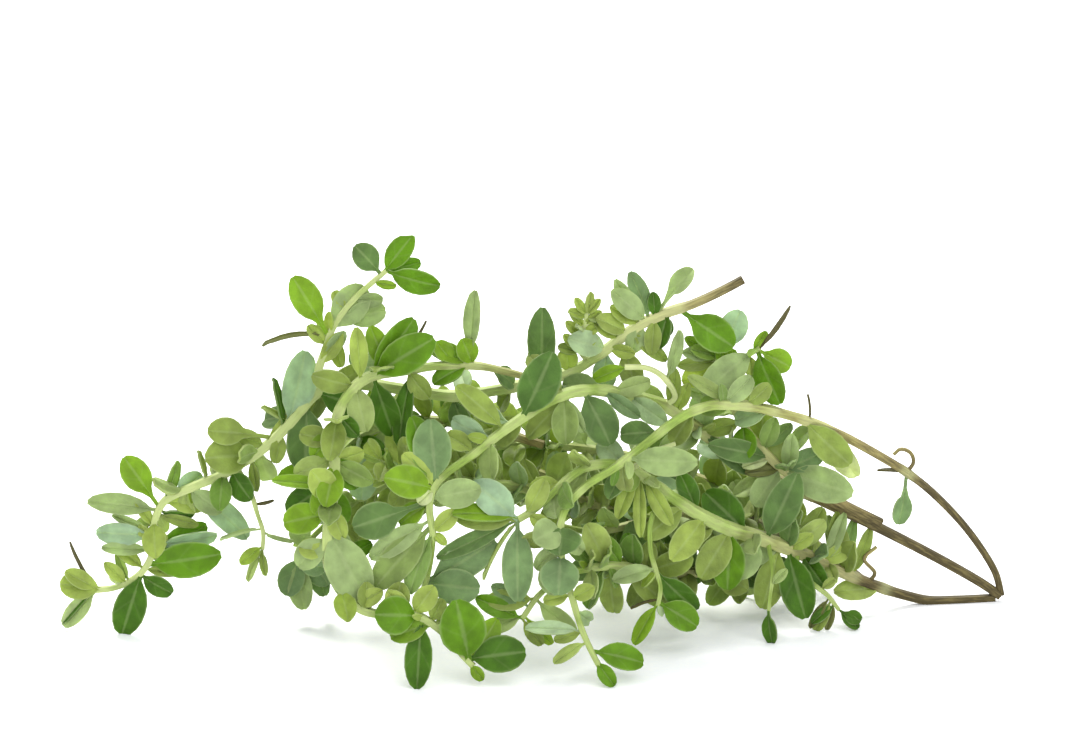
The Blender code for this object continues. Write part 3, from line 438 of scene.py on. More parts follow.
add_stem("sprig_curled", "main_stem", [
    (1.5, 41.9, 2), (-4, 43.5, 2), (-8.5, 44.4, 2), (-14, 44.4, 1), (-19.5, 43.6, -1), (-25, 42.5, -3),
    (-28.5, 39, -6), (-30, 34, -9), (-30, 28, -12), (-30.5, 22, -14), (-31.2, 16, -15.5), (-30.8, 11.5, -16.5),
    (-29, 8, -17.5), (-26, 5.2, -18.5), (-22, 4.2, -19.5), (-18, 4.4, -20.2), (-14.5, 2.4, -21),
    (-11.5, -1, -21.5), (-8.8, -4, -22),
], (0.55, 0.95, 0.5), (24, 64, 6.5, 7.5, 6.5, 10), [
    (-24.5, 42.7, -14.8, 48.8, 1, 5.8, 0, "rich"), (-25, 42.5, -18, 52, 4, 5, 20, "rich"),
    (-9, 44.4, -15.8, 47.4, 1, 3.6, 30, "vivid"), (-9, 44.4, -8.4, 56.6, 2, 3, -30, "sage", None, 0.3),
    (-9.5, 44.4, -15, 41.4, -2, 3.4, 30, "rich"), (-26.2, 41.8, -26.8, 50.6, 1, 4.6, 10, "light", 3),
    (-18, 43.8, -20.2, 31.4, -2, 3.2, 20, "deep"), (-24, 42.8, -21.2, 33.2, 1, 4.6, 0, "deep"),
    (-30.6, 20.5, -37.8, 19, 1, 5, 10, "vivid"), (-30.4, 23, -33.6, 27.6, -2, 4.6, 10, "light"),
    (-30.3, 25, -39.6, 25.8, 0, 2.4, 30, "vivid"), (-30.8, 18.5, -25.4, 6.6, -3, 7, 5, "sage"),
    (-31, 17, -35.6, 12, 0, 4.4, 10, "sage"), (-26.8, 5.8, -30.4, 12.4, 3, 4.2, 20, "slate"),
    (-17, 4, -23.8, 4.4, -1.5, 6.2, 0, "rich"), (-16.5, 3.6, -17.4, -7.7, -3, 4.4, 5, "deep"),
    (-15, 2.8, -21.4, 0.6, 0, 4, 20), (-9.5, -3.2, -11.4, 6.8, -1, 7.4, 5, "rich"),
    (-10, -2.8, -0.8, -1.8, 1, 6, -10, "deep"), (-9, -3.8, -7.2, -6.2, -1, 2, 20, "vivid"),
    (-9.5, -3.2, -5.2, 3.6, 3, 4, 15, "vivid"),
])
add_stem("sprig_crown", "main_stem", [
    (54.5, 18.8, 12.2), (50, 21.1, 11.2), (45, 23.8, 10.2), (41, 26, 9.5), (37, 29.5, 9), (33.5, 34, 9.5),
    (31, 38.5, 10), (31, 42.5, 9.5), (33, 45.6, 8.5), (35.4, 47.3, 8),
], (0.7, 0.7, 0.4), (18, 32, 6, 7, 6.5, 30), [
    (35.2, 47, 40.1, 44.2, 0, 3.3, 0, "vivid", 4, 0.3), (35.4, 47.3, 40.1, 54.2, 1, 1.4, 35, "", 2),
    (34.5, 46.8, 26.4, 39.8, -5, 5, 10, "sage"), (34.8, 47, 38.6, 38.2, -2, 4.2, 20, "rich", 4.8),
    (39, 27.6, 49.9, 23.6, -3, 5.6, 8, "sage"), (36, 30.5, 37.9, 36, -1, 3, 0),
    (35.5, 31, 40.4, 35, 1, 2.6, 20), (33, 35, 33.4, 29.2, -3, 4, 5, "rich"),
    (37.5, 29, 32.8, 27.8, -1, 2.2, 30, "pale"),
])
add_stem("sprig_crown", "side_shoot", [
    (29.8, 43.6, 9.5), (28.6, 46, 9),
], (0.5, 0.45, 0.4), None, [
    (28.8, 45.6, 32.4, 53.4, 2, 3.6, 10, "bluish", 4.6, 0.35), (28.8, 45.6, 24.6, 47, -2, 2.6, 30),
    (29.4, 44.5, 23.4, 41.6, -3, 3, 10, "bright", 3.6, 0.42),
], "main_stem")
add_stem("sprig_low", "main_stem", [
    (42, 9.5, 21), (36, 10.3, 17), (30, 10.8, 11.5), (24, 10.8, 4.5), (18, 11.4, -2.5), (12, 12, -8),
    (6, 10.8, -12.5), (1.5, 7.6, -15), (-1.3, 3.6, -16.5),
], (0.7, 0.75, 0.4), (5, 50, 6, 6.5, 5.5, 45), [
    (12.4, 12, 13, 4.4, 3, 4, 20), (22, 10.8, 20.6, 4.6, -3, 3.6, 20), (29.5, 10.8, 33.8, 7.8, -4, 4.6, 10),
    (18, 11, 25, 13.5, -1, 4.4, 20), (0.8, 7, 6.8, 1.2, 2, 3.4, 10), (-1.1, 4, -6.6, 1.6, 0, 3, 20),
    (-1, 4, 3.4, -0.4, 1, 2.2, 20),
])
add_stem("sprig_back_left", "main_stem", [
    (24, 9.15, 26.5), (18, 15.5, 26), (10, 22.3, 25), (0, 27, 23), (-11, 28.5, 20), (-20, 26.3, 17),
    (-28, 21.5, 14), (-33.5, 16.8, 11.5), (-36.5, 12.4, 9.5),
], (0.75, 0.85, 0.4), (8, 64, 6.5, 7.5, 6.5, 15), [
    (-36, 13.2, -37.8, 6.8, -2, 4.4, 10, "dusky"), (-36.2, 13, -35.2, 4.6, -2, 4, 10, "sage"),
    (-35, 15, -31.4, 8.6, -2, 4.6, 15, "dusky"), (-34.6, 15.4, -37.2, 18.6, -1, 4, 15, "sage"),
    (-36.3, 12.8, -31.6, 11.4, -4, 3.6, 20, "dusky"), (-25.5, 23, -27.6, 14.6, -1, 5, 10),
])
add_stem("sprig_back_right", "main_stem", [
    (52, 9.15, 26.5), (46, 14, 27), (38, 19.5, 26.5), (28, 25, 25), (17, 29, 22), (7, 31, 18.5), (-2, 31.5, 15),
    (-10, 30, 12),
], (0.75, 0.85, 0.4), (10, 70, 6, 7.5, 6.5, 60))
add_stem("sprig_middle", "main_stem", [
    (26, 12.5, 19), (19, 17.5, 16), (12, 21, 12.5), (4, 23.5, 8), (-4, 25, 3.5), (-12, 26, -1), (-20, 27.5, -3),
    (-26, 30, -4),
], (0.75, 0.8, 0.4), (8, 62, 6, 7.5, 6.5, 35))
add_stem("sprig_left", "main_stem", [
    (2, 31.5, 11.5), (-5, 33.6, 13), (-13, 35.3, 13.5), (-20, 35.2, 12), (-26, 33, 9), (-30, 29, 6),
    (-31.5, 24.5, 3.5),
], (0.7, 0.75, 0.4), (5, 30, 6.5, 7, 6.5, 15), [
    (-27, 32, -22.2, 30.6, -3, 3.6, 10), (-31, 26.5, -39, 26.2, -2, 4, 20, "vivid"),
    (-31.5, 24.8, -28.6, 18.8, -2, 4, 0, "rich"), (-31.2, 25, -37.6, 20.6, 0, 4.4, 10, "deep"),
    (-29.5, 29.5, -34.4, 28.6, -2, 2.4, 30), (-25.5, 33.2, -26.2, 22.6, -1, 5.4, 5),
    (-22, 34.6, -28.6, 31.4, 1, 3, -30),
])
add_stem("sprig_inner", "main_stem", [
    (46, 11.8, 23), (40, 16, 21.5), (33, 19.5, 17.5), (25, 20, 11), (17, 18.8, 4.5), (10, 17.5, -1),
    (4, 18.6, -5),
], (0.7, 0.75, 0.4), (8, 48, 6, 7, 6, 75))

# More leaves that stand out, in the dressed bundle alone, by sprig and stem.
MORE_LEAVES = {
    ("sprig_long", "main_stem"): [
        (-58.5, 14.5, -50.2, 18.4, 3, 3.8, 10, "rich"), (-63, 9.6, -66, 12.4, -1, 2.2, 0, "light"),
        (6, 43.3, 5.4, 47.4, 0, 3.4, 0, "light"),
        (-32.6, 41.5, -37.8, 34.6, -1, 2.4, 0, "light", None, None, 5),
        (-35, 38, -40, 32.6, -1, 2.2, 10, "light", None, None, 5),
        (-56.8, 22.4, -49.6, 22.4, 2, 3.8, 0, "light"), (-58.4, 18, -61.2, 22.8, 0, 2, 20, "light"),
        (-58.5, 15, -60.4, 18.6, 0, 2, -20, "light"), (-58.6, 13.5, -56.6, 17.2, 0, 2.2, 20, "light"),
        (-67.4, 7.9, -72.2, 10.8, -1, 3, 20, "light"), (-60, 11.2, -64.4, 14.8, 1, 2.4, 20, "light"),
        (16.8, 51, 12.2, 54, -1, 2.8, 10, "light"), (13.5, 48.7, 9.8, 51.4, -1, 2.6, 20, "light"),
        (12, 47.4, 16.2, 46.4, -2, 2.4, 20, "light"), (-57.5, 21, -52, 20.4, 1, 1.8, 50, "deep"),
        (19.2, 52.3, 18.8, 56.4, 0, 2.2, 10, "deep"), (20.6, 52.8, 21.6, 49.4, -1, 2.2, 20, "deep"),
        (-70, 6.6, -72.6, 2.2, 0, 1.6, 40, "deep"), (17, 51.4, 13, 58.4, 0, 2.6, 0, "sage"),
        (17.6, 51.2, 15.4, 46.6, -1, 3.2, 0, "sage"), (-59, 14.5, -66.4, 14.8, 0, 2.2, 0, "sage"),
        (-58.4, 16.8, -64.8, 20, 1, 1.6, 20, "sage"), (-53, 24.2, -47.6, 20.8, -1, 3.6, 10, "sage"),
        (-46.5, 27.4, -48.6, 24.2, 1, 3, 20, "sage"), (-34.8, 38, -39, 37.4, 1, 2.6, 20, "sage"),
        (-55, 23.2, -50.8, 26.6, 2, 3.4, 0, "bluish"), (-60.4, 11.4, -54, 10.8, -1, 2, 0, "olive"),
        (-38.6, 33.8, -39.4, 28.6, -1, 2.6, 0, "olive"), (15.4, 49.6, 21, 45.2, -1, 2.4, 0, "olive"),
        (19, 52.2, 18.6, 46.2, -2, 2.8, 0, "olive"), (-57.6, 20.4, -51.4, 18.6, 1, 2, 20, "olive"),
        (-43, 29.6, -42.2, 24, 0, 1.8, 20, "olive"), (-41, 31.4, -45.4, 33.4, 1, 3, 0, "olive"),
        (-37.4, 34.8, -41.6, 37.6, 1, 1.6, 60, "olive"),
    ],
    ("sprig_long", "feather_shoot"): [
        (7.6, 47, 5, 49.4, 0, 1.7, 10, "light"), (7.6, 47.2, 10.4, 49.2, 0, 1.7, -10, "light"),
        (7.9, 48.8, 5.4, 51.6, 0, 1.7, 10, "light"), (8, 49, 10.8, 51.2, 0, 1.8, -10, "light"),
        (8.2, 50.6, 6, 53.6, 0, 1.6, 10, "light"), (8.3, 50.8, 11, 53.2, 0, 1.6, -10, "light"),
        (8.6, 52.4, 6.8, 55.4, 0, 1.5, 10, "light"), (8.7, 52.6, 10.8, 55.2, 0, 1.5, -10, "light"),
    ],
    ("sprig_long", "upright_shoot"): [
        (-30.4, 50, -29.2, 44.2, 0, 2.4, 0, "light"), (-32.2, 44.6, -29, 49.8, 0, 2.8, 0, "light"),
        (-31.6, 47.4, -34.4, 50.8, 1, 2.4, 20, "light"), (-28.6, 53.4, -30.4, 56.4, 1, 2.2, 10, "light"),
        (-27, 55.2, -22.8, 55.2, 1, 2.6, 20, "sage"),
    ],
    ("sprig_curled", "main_stem"): [
        (-22, 43.5, -24.6, 50.8, 1, 3.6, 0, "vivid"), (-30, 28.6, -31.4, 21.6, -5.5, 4.4, 0, "vivid"),
        (-30, 34, -33.4, 29.4, -2, 3.6, 10, "vivid"), (-30.2, 26, -33, 20.4, -2, 4, 0, "vivid"),
        (-9.2, 44.4, -10.6, 48.8, 0, 3.6, 10, "vivid"), (-12, 44.4, -14.6, 48.2, 1, 3.2, 20, "vivid"),
        (-21, 4.2, -19.8, 9.6, 0, 4, 0, "olive"), (-15.4, 3, -13.4, 6.8, 1, 2.8, 0, "olive"),
        (-25, 4.9, -25.2, 9.6, 0, 3.2, 10, "olive"), (-30, 36.5, -30.8, 29, -7, 4, 0, "olive"),
        (-19, 43.7, -15.6, 39.2, -1, 3.4, 10, "olive"), (-30, 32, -35.4, 33.4, 1, 3.6, 10, "olive"),
        (-27, 5.6, -22.6, 8.2, -1, 2.8, 0, "light"), (-18, 4.4, -14.8, 9, 0, 3.8, 10, "light"),
        (-19, 4.2, -22, 8.2, -1, 3.2, 0, "light"), (-30.6, 21.6, -28.6, 16.4, -2, 3.2, 10, "light"),
        (-30, 29, -25.6, 30.6, 0, 3.2, 10, "light"), (-30.8, 14, -35.4, 15.4, 1, 3.4, 10, "light"),
        (-29.8, 12.4, -24.4, 15.8, 3, 3, 0, "rich"), (-30, 30, -26.6, 24.6, -2, 3.8, 10, "rich"),
        (-29.6, 36.6, -26.4, 33, -2, 3, 10, "deep"), (-22, 43.2, -16, 51.7, 2, 1.2, 60, "dry"),
    ],
    ("sprig_crown", "main_stem"): [
        (30.8, 42.5, 28.6, 47.8, -1, 2.2, 10, "vivid"), (34, 46.4, 36.4, 50, 1, 1.8, 10, "vivid"),
        (39.4, 27.4, 33.2, 26.8, -1, 2.4, 30, "withered"), (37, 29.5, 27.4, 31.6, -4, 3.8, 0, "slate"),
        (33.6, 46.4, 34.2, 42.6, -1, 2.2, 0, "light"), (30.6, 41.4, 24.8, 44.8, -1, 1.8, 10, "light"),
        (39, 27.6, 45.6, 30.4, -1, 3.6, 0, "dusky"), (39, 28, 34.6, 21.6, -2, 4.4, 0, "sage"),
        (40, 27.2, 40.4, 33.4, -2, 2.8, 0, "sage"), (31, 38.6, 24, 40.6, -3, 3, 0, "sage"),
        (40, 27, 46.2, 23.4, -2, 3.8, 0, "olive"),
    ],
    ("sprig_crown", "side_shoot"): [
        (28.6, 46, 23.8, 49, 0, 2.2, 0, "vivid"), (29, 45, 31.8, 46.8, 0, 2.4, 10, "vivid"),
        (29.2, 44.8, 24.8, 47.6, 0, 2, 20, "pale"), (29, 45, 22.6, 44.4, -2, 2.4, 0, "olive"),
        (28.6, 46, 23.4, 46.6, -1, 2.4, 0, "sage"),
    ],
    ("sprig_forked", "upper_arm"): [
        (5, 18.8, 4.4, 13.8, -4, 6.8, 0, "slate"), (5, 15.5, 0.8, 11.6, -1, 3, 0, "sage"),
        (5, 14, 4.2, 7.4, -4, 6.2, 0, "dusky"), (8, 1.4, 3.6, 0.2, 0, 2, 0, "olive"),
        (42.4, 35.4, 49.4, 28.4, 0, 5, 10, "olive"), (33, 37.9, 36.8, 41.4, 2, 3, 20, "olive"),
        (6.2, 7.6, 2, 6.4, 0, 2.4, 10, "light"), (6.4, 7, 9.8, 8.8, -1, 2.8, 0, "light"),
        (6, 9, 1.6, 9.6, 0, 2.4, 0, "rich"),
    ],
    ("sprig_forked", "middle_arm"): [
        (-15.2, 19.6, -24.6, 13.4, -1, 3.8, 0, "sage"), (5.4, 39.6, 8.2, 33.6, -1, 2.2, 10, "sage"),
        (22.4, 37, 24.4, 41.6, -2, 2.4, 0, "light"), (-14.8, 25, -19.6, 30.2, 0, 3.6, 10, "light"),
        (-15.2, 17.6, -11.4, 21.2, 0, 3, 10, "light"), (-15, 24.6, -17.2, 22.2, -1, 2.4, 0, "pale"),
        (11, 40.4, 16.8, 36, -1, 2.6, 0, "dusky"), (26.2, 33.6, 33.8, 27, 0, 3, 0, "slate"),
        (26.6, 33.8, 32, 35, -1, 3, 0, "olive"), (21.6, 37.4, 22.4, 44, -2, 2.4, 0, "olive"),
    ],
    ("sprig_forked", "lower_arm"): [
        (24, 21.6, 17.4, 16.4, -4, 4, 0, "olive"), (31, 17.8, 26.2, 9.8, -4, 5, 0, "olive"),
        (47, 11.4, 47.6, 20.6, 1, 2.6, 0, "olive"), (41.5, 14, 45.4, 21.2, 3, 3.4, 0, "olive"),
        (47, 11.4, 48.6, 17.6, 2, 3, 10, "olive"), (50, 10, 52.8, 18, 2, 2.2, 20, "olive"),
        (-1.9, 19.6, -11.6, 20, -1, 3.8, 0, "olive"), (28, 19.4, 22.6, 16.6, -2, 3, 10, "olive"),
        (27, 19.6, 21.6, 12.8, -7, 4.6, 0, "light"), (-0.6, 20.4, 3, 18.2, -1, 2.4, 0, "light"),
        (45, 12.5, 49.6, 14.8, 1, 3, 10, "light"), (40, 14.6, 43.8, 17, -1, 2.6, 10, "light"),
        (-12, 21, -14.4, 13.4, -2, 3, 0, "slate"), (35, 16.6, 32.2, 9.6, -5, 4.6, 0, "sage"),
        (46, 12.4, 48.8, 20.4, 1, 2.4, 0, "sage"),
    ],
    ("sprig_forked", "right_shoot"): [
        (46.4, 6.4, 43.4, 1.6, 0, 1.6, 20, "withered"), (46.8, 6, 45.8, 1.4, 0, 1.5, -20, "withered"),
        (47.8, 4.6, 50.8, 1.6, 0, 2, 0, "deep"), (46.6, 6.2, 44.2, 1, 0, 2.2, 10, "olive"),
    ],
    ("sprig_low", "main_stem"): [
        (14, 8.6, 21, 5.6, 2, 3.8, 0, "olive"), (0.8, 7, -6.8, 6.6, -1, 3.6, 0, "olive"),
        (-1.2, 3.6, 1.8, -0.6, 0, 2.4, 10, "olive"), (-0.4, 5.6, -6, 9, 0, 2.8, 0, "dusky"),
        (-1.2, 3.8, -8.4, 7, 0, 3.2, 0, "rich"), (25, 10.6, 18, 8.2, -5, 3.8, 0, "light"),
        (21, 9.6, 13.4, 12.4, -2, 4, 0, "light"),
    ],
    ("sprig_back_left", "main_stem"): [
        (-35, 15, -32, 6.8, 0, 3.4, 0, "slate"),
    ],
}


class Leaf:
    """A leaf's place: its root on a stem, the way it points and looks, and its size.

    Its root may be offset along the stem. A leaf with no kind takes after its sprig. Its width in the
    dressed bundle may differ from the width that it needs room for.
    """

    def __init__(self, stem, distance, aim, face, length, width, bend=BEND, offset=0):
        self.stem, self.distance = stem, distance
        self.root = stem.point(min(stem.length, distance + offset))
        self.aim = aim.normalized()
        self.face = (face - face.dot(self.aim) * self.aim).normalized()
        self.side = self.aim.cross(self.face)
        self.length, self.width, self.dressed_width = length, width, width
        self.bend = math.radians(bend)
        self.kind, self.stalk = None, BLADE_ROW
        self.small = self.dry = self.stands_out = False
        self.tone = self.fresh = self.withered = 0.0

    def point(self, share, offset, lift):
        """The point at a share of the length, offset to one side of the rib, and lifted off the blade."""
        start = self.bend / 2
        angle = start - self.bend * share
        forward = (math.sin(start) - math.sin(angle)) / self.bend * self.length
        up = (math.cos(angle) - math.cos(start)) / self.bend * self.length
        above = self.face * math.cos(angle) - self.aim * math.sin(angle)
        rib = self.root + self.aim * forward + self.face * up
        return rib + self.side * offset * math.cos(FOLD) + above * (abs(offset) * math.sin(FOLD) + lift)


def leaf_shape(leaf, grow=0.0, start=0.0):
    """Points and faces of a leaf: three-sided rings, flat above and keeled below, and then its tip."""
    stalk = STALK_WIDTH / 2 + grow
    half = leaf.width / 2 + grow
    above = BLADE_THICKNESS * FLAT_SHARE + grow
    below = BLADE_THICKNESS * (FLAT_SHARE - 1) - grow
    rings = [(start, stalk), (STALK_SHARE, stalk), (WIDEST_SHARE, half)]
    if leaf.length >= SMALL_LEAF:
        rings.append((SHOULDER_SHARE, half * SHOULDER_WIDTH))
    points = []
    for share, reach in rings:
        if share >= start:
            points += [leaf.point(share, -reach, above), leaf.point(share, reach, above)]
            points.append(leaf.point(share, 0, below))
    points.append(leaf.point(1 + grow / leaf.length, 0, 0))
    return points, loft_faces(len(points), 3, pointed=True)


def stem_shape(stem):
    """Points and faces of a stem: square rings with a side underneath."""
    count = max(3, round(stem.length / STEM_SPACING) + 1)
    points = []
    for ring in range(count):
        distance = stem.length * ring / (count - 1)
        ahead = stem.direction(distance)
        across = level_side(ahead)
        over = ahead.cross(across)
        reach = stem.radius(distance) * CORNER
        for corner in range(4):
            angle = math.pi * (corner / 2 + 0.25)
            points.append(stem.point(distance) + reach * (math.cos(angle) * across + math.sin(angle) * over))
    return points, loft_faces(len(points), 4, pointed=False)


def loft_faces(count, sides, pointed):
    """Faces over rings of so many sides. The first end is closed, and the other too or drawn to a point."""
    faces = [tuple(reversed(range(sides)))]
    last = count - 1 - sides if pointed else count - sides
    for ring in range(0, last, sides):
        for i in range(sides):
            j = (i + 1) % sides
            faces.append((ring + i, ring + j, ring + sides + j, ring + sides + i))
    if pointed:
        faces += [(last + i, last + (i + 1) % sides, count - 1) for i in range(sides)]
    else:
        faces.append(tuple(range(last, count)))
    return faces


class Crowd:
    """What is already in place, so that a new leaf can be kept clear of it."""

    def __init__(self):
        self.things = []

    def add(self, sprig, shape):
        middle = sum(shape[0], Vector()) / len(shape[0])
        reach = max((p - middle).length for p in shape[0])
        self.things.append((sprig, BVHTree.FromPolygons(*shape), middle, reach))

    def is_clear(self, sprig, leaf, of_own):
        """Whether the leaf keeps CLEARANCE to other sprigs and, if asked, its blade misses its own sprig."""
        if min(p.z for p in leaf_shape(leaf)[0]) < -DIP:
            return False
        middle = leaf.point(WIDEST_SHARE, 0, 0)
        grown = BVHTree.FromPolygons(*leaf_shape(leaf, grow=CLEARANCE))
        own_blade = BVHTree.FromPolygons(*leaf_shape(leaf, start=BLADE_START))
        for name, tree, other_middle, other_reach in self.things:
            if (middle - other_middle).length > leaf.length + other_reach:
                continue
            if name != sprig and grown.overlap(tree):
                return False
            if name == sprig and of_own and own_blade.overlap(tree):
                return False
        return True

    def admits(self, sprig, leaf, of_own=True):
        """Put the leaf in place if there is room for it, and say whether there was."""
        clear = self.is_clear(sprig, leaf, of_own)
        if clear:
            self.add(sprig, leaf_shape(leaf))
        return clear


def placed_leaf(stem, root_across, root_rise, tip_across, tip_rise, back, width, turn,
                kind=None, dressed_width=None, stalk=None, bend=BEND):
    """A leaf that stands out, from the stem's nearest drawn point to its own drawn tip.

    Its tip is so much further back than its root, and it is turned about its own length.
    """
    distance = stem.distance_of(root_across, root_rise)
    root = stem.point(distance)
    aim = drawn(tip_across, tip_rise, root.y + ORIGIN_BACK + back) - root
    face = FRONT - FRONT.dot(aim) / aim.length_squared * aim
    face = Matrix.Rotation(math.radians(turn), 3, aim) @ face
    leaf = Leaf(stem, distance, aim, face, aim.length, width, bend)
    leaf.kind, leaf.stands_out = kind, True
    leaf.dressed_width = dressed_width or width
    leaf.stalk = stalk or BLADE_ROW
    return leaf


def paired_leaf(stem, distance, roll, length, draw, tilt=0):
    """A leaf of a pair: it leaves the stem at its roll round it, and turns its upper face to the light.

    Its face may be tilted from there in a random way.
    """
    ahead = stem.direction(distance)
    outward = Matrix.Rotation(math.radians(roll), 3, ahead) @ level_side(ahead)
    spread = math.radians(draw.uniform(*SPREAD))
    aim = ahead * math.cos(spread) + outward * math.sin(spread)
    light = draw.uniform(*LIGHT_SHARE)
    face = ahead * (1 - light) + LIGHT_SIDE * light + outward * AWAY_SHARE
    leaf = Leaf(stem, distance, aim, face, length, length * draw.uniform(*WIDTH_SHARE))
    if tilt:
        leaf = Leaf(stem, distance, leaf.aim, leaf.face + any_way(draw) * tilt, length, leaf.width)
    return leaf


def any_way(draw):
    """A direction that may be any."""
    return Vector([draw.gauss(0, 1) for _ in range(3)]).normalized()


def grow_pairs(sprig, stem, crowd, draw):
    """The pairs of leaves up a stem, each square to the last. One with no room is turned, or left out."""
    first, last, gap, large, small, roll = stem.pairs
    leaves = []
    distance = first
    while distance < min(last, stem.length):
        share = (distance - first) / (stem.length - first)
        for opposite in (0, 180):
            length = (large + (small - large) * share) * draw.uniform(*LENGTH_SHARE)
            wobble = draw.uniform(-WOBBLE, WOBBLE)
            for turn in TURNS:
                leaf = paired_leaf(stem, distance, roll + opposite + wobble + turn, length, draw)
                if crowd.admits(sprig, leaf):
                    leaves.append(leaf)
                    break
        roll += 90
        distance += gap * draw.uniform(*GAP_SHARE)
    return leaves


def filling_leaves(sprig, stem, crowd, draw):
    """Full-grown leaves at the joints between a stem's pairs, which close up the heart of the heap."""
    first, last, gap, _, _, roll = stem.pairs
    leaves = []
    distance = first + gap / 2
    while distance < min(last, stem.length):
        for part in FILLING_ROUND:
            length = draw.uniform(*FILLING_LENGTH)
            if draw.random() > FILLING_SHARE:
                continue
            for turn in TURNS:
                leaf = paired_leaf(stem, distance, roll + part + turn, length, draw, FILLING_TILT)
                if inside_box(leaf_shape(leaf)) and crowd.admits(sprig, leaf):
                    leaves.append(leaf)
                    break
        roll += 45
        distance += gap / 2
    return leaves


def tuft_leaves(sprig, leaves, crowd, draw):
    """Young leaves: the little ones that crowd in the angle between a leaf and its stem."""
    tuft = []
    for leaf in leaves:
        if leaf.dry or leaf.length < TUFT_NEEDS:
            continue
        ahead = leaf.stem.direction(leaf.distance)
        for _ in range(draw.choice(TUFT_COUNT)):
            length = draw.uniform(*TUFT_LENGTH)
            aim = ahead * draw.uniform(*TUFT_AHEAD) + leaf.aim * draw.uniform(*TUFT_OUT)
            aim += leaf.side * draw.uniform(*TUFT_SIDEWAYS)
            face = ahead * -TUFT_OPENS + LIGHT_SIDE * draw.uniform(*TUFT_TO_LIGHT)
            face += leaf.side * draw.uniform(*TUFT_ROLL)
            offset = draw.uniform(*TUFT_OFFSET)
            width, bend = length * draw.uniform(*TUFT_WIDTH), draw.uniform(*TUFT_BEND)
            young = Leaf(leaf.stem, leaf.distance, aim, face, length, width, bend, offset)
            young.small = True
            if not hides_stem(sprig, young) and inside_box(leaf_shape(young)) and crowd.admits(sprig, young):
                tuft.append(young)
    return tuft


def inside_box(shape):
    """Whether all of a shape lies in the part's own box."""
    low, high = cad_box
    return all(low[i] <= p[i] * MM <= high[i] for p in shape[0] for i in range(3))


def hides_stem(sprig, leaf):
    """Whether the leaf points at the viewer from a stretch of stem that shows bare."""
    if leaf.stands_out or leaf.aim.dot(FRONT) < FACING:
        return False
    stretches = BARE.get((sprig, leaf.stem.name), ())
    ends = [[leaf.stem.distance_of(*end) for end in stretch] for stretch in stretches]
    return any(first <= leaf.distance <= last for first, last in ends)


def grow_bundle():
    """Every sprig's leaves: those that stand out, the pairs, the dressed bundle's own, and the young ones."""
    draw = random.Random(SEED)
    crowd = Crowd()
    bundle = {sprig: [] for sprig in SPRIGS}
    every_stem = [(sprig, stem) for sprig, stems in SPRIGS.items() for stem in stems.values()]
    for sprig, stem in every_stem:
        crowd.add(sprig, stem_shape(stem))
    for sprig, stem in every_stem:
        for row in stem.rows:
            leaf = placed_leaf(stem, *row)
            leaf.dry = leaf.width <= DRY_WIDTH
            if crowd.admits(sprig, leaf, of_own=False):
                bundle[sprig].append(leaf)
    for sprig, stem in every_stem:
        if stem.pairs:
            bundle[sprig] += grow_pairs(sprig, stem, crowd, draw)
    for (sprig, name), rows in MORE_LEAVES.items():
        more = [placed_leaf(SPRIGS[sprig][name], *row) for row in rows]
        bundle[sprig] += [leaf for leaf in more if crowd.admits(sprig, leaf, of_own=False)]
    draw = random.Random(SEED + 1)
    for sprig, stem in every_stem:
        if sprig in FILLED and stem.pairs:
            bundle[sprig] += filling_leaves(sprig, stem, crowd, draw)
    for sprig, leaves in bundle.items():
        leaves[:] = [leaf for leaf in leaves if not hides_stem(sprig, leaf)]
    for sprig, leaves in bundle.items():
        leaves += tuft_leaves(sprig, leaves, crowd, draw)
    for sprig, leaves in bundle.items():
        colour_leaves(sprig, leaves, draw)
    return bundle


def colour_leaves(sprig, leaves, draw):
    """Give each leaf its tone, and make it fresher the nearer it grows to its stem's tip."""
    _, (tone, tip_freshness, spread) = LOOKS[sprig]
    for leaf in leaves:
        to_tip = leaf.stem.length - leaf.distance
        leaf.tone = min(1, max(0, draw.gauss(tone, spread)))
        leaf.fresh = tip_freshness * math.exp(-to_tip / FRESH_OVER) + (YOUNG_FRESHER if leaf.small else 0)
        leaf.fresh = min(1, max(0, leaf.fresh + draw.gauss(0, FRESH_SPREAD)))
        if leaf.kind:
            leaf.tone, leaf.fresh, leaf.withered = KINDS[leaf.kind]
            leaf.dry = leaf.kind == "dry"


def kept_in_box(place):
    """The place, moved the last few tenths of a millimetre into the part's own box."""
    low, high = cad_box
    return [min(high[i], max(low[i], place[i])) for i in range(3)]


def clear_selection():
    bpy.ops.object.select_all(action="DESELECT")
    bpy.context.view_layer.objects.active = None


def select_verts(obj, chosen):
    """In edit mode: select just the points that the test chooses."""
    mesh = bmesh.from_edit_mesh(obj.data)
    for vert in mesh.verts:
        vert.select = chosen(vert.co)
    mesh.select_flush_mode()
    bmesh.update_edit_mesh(obj.data)


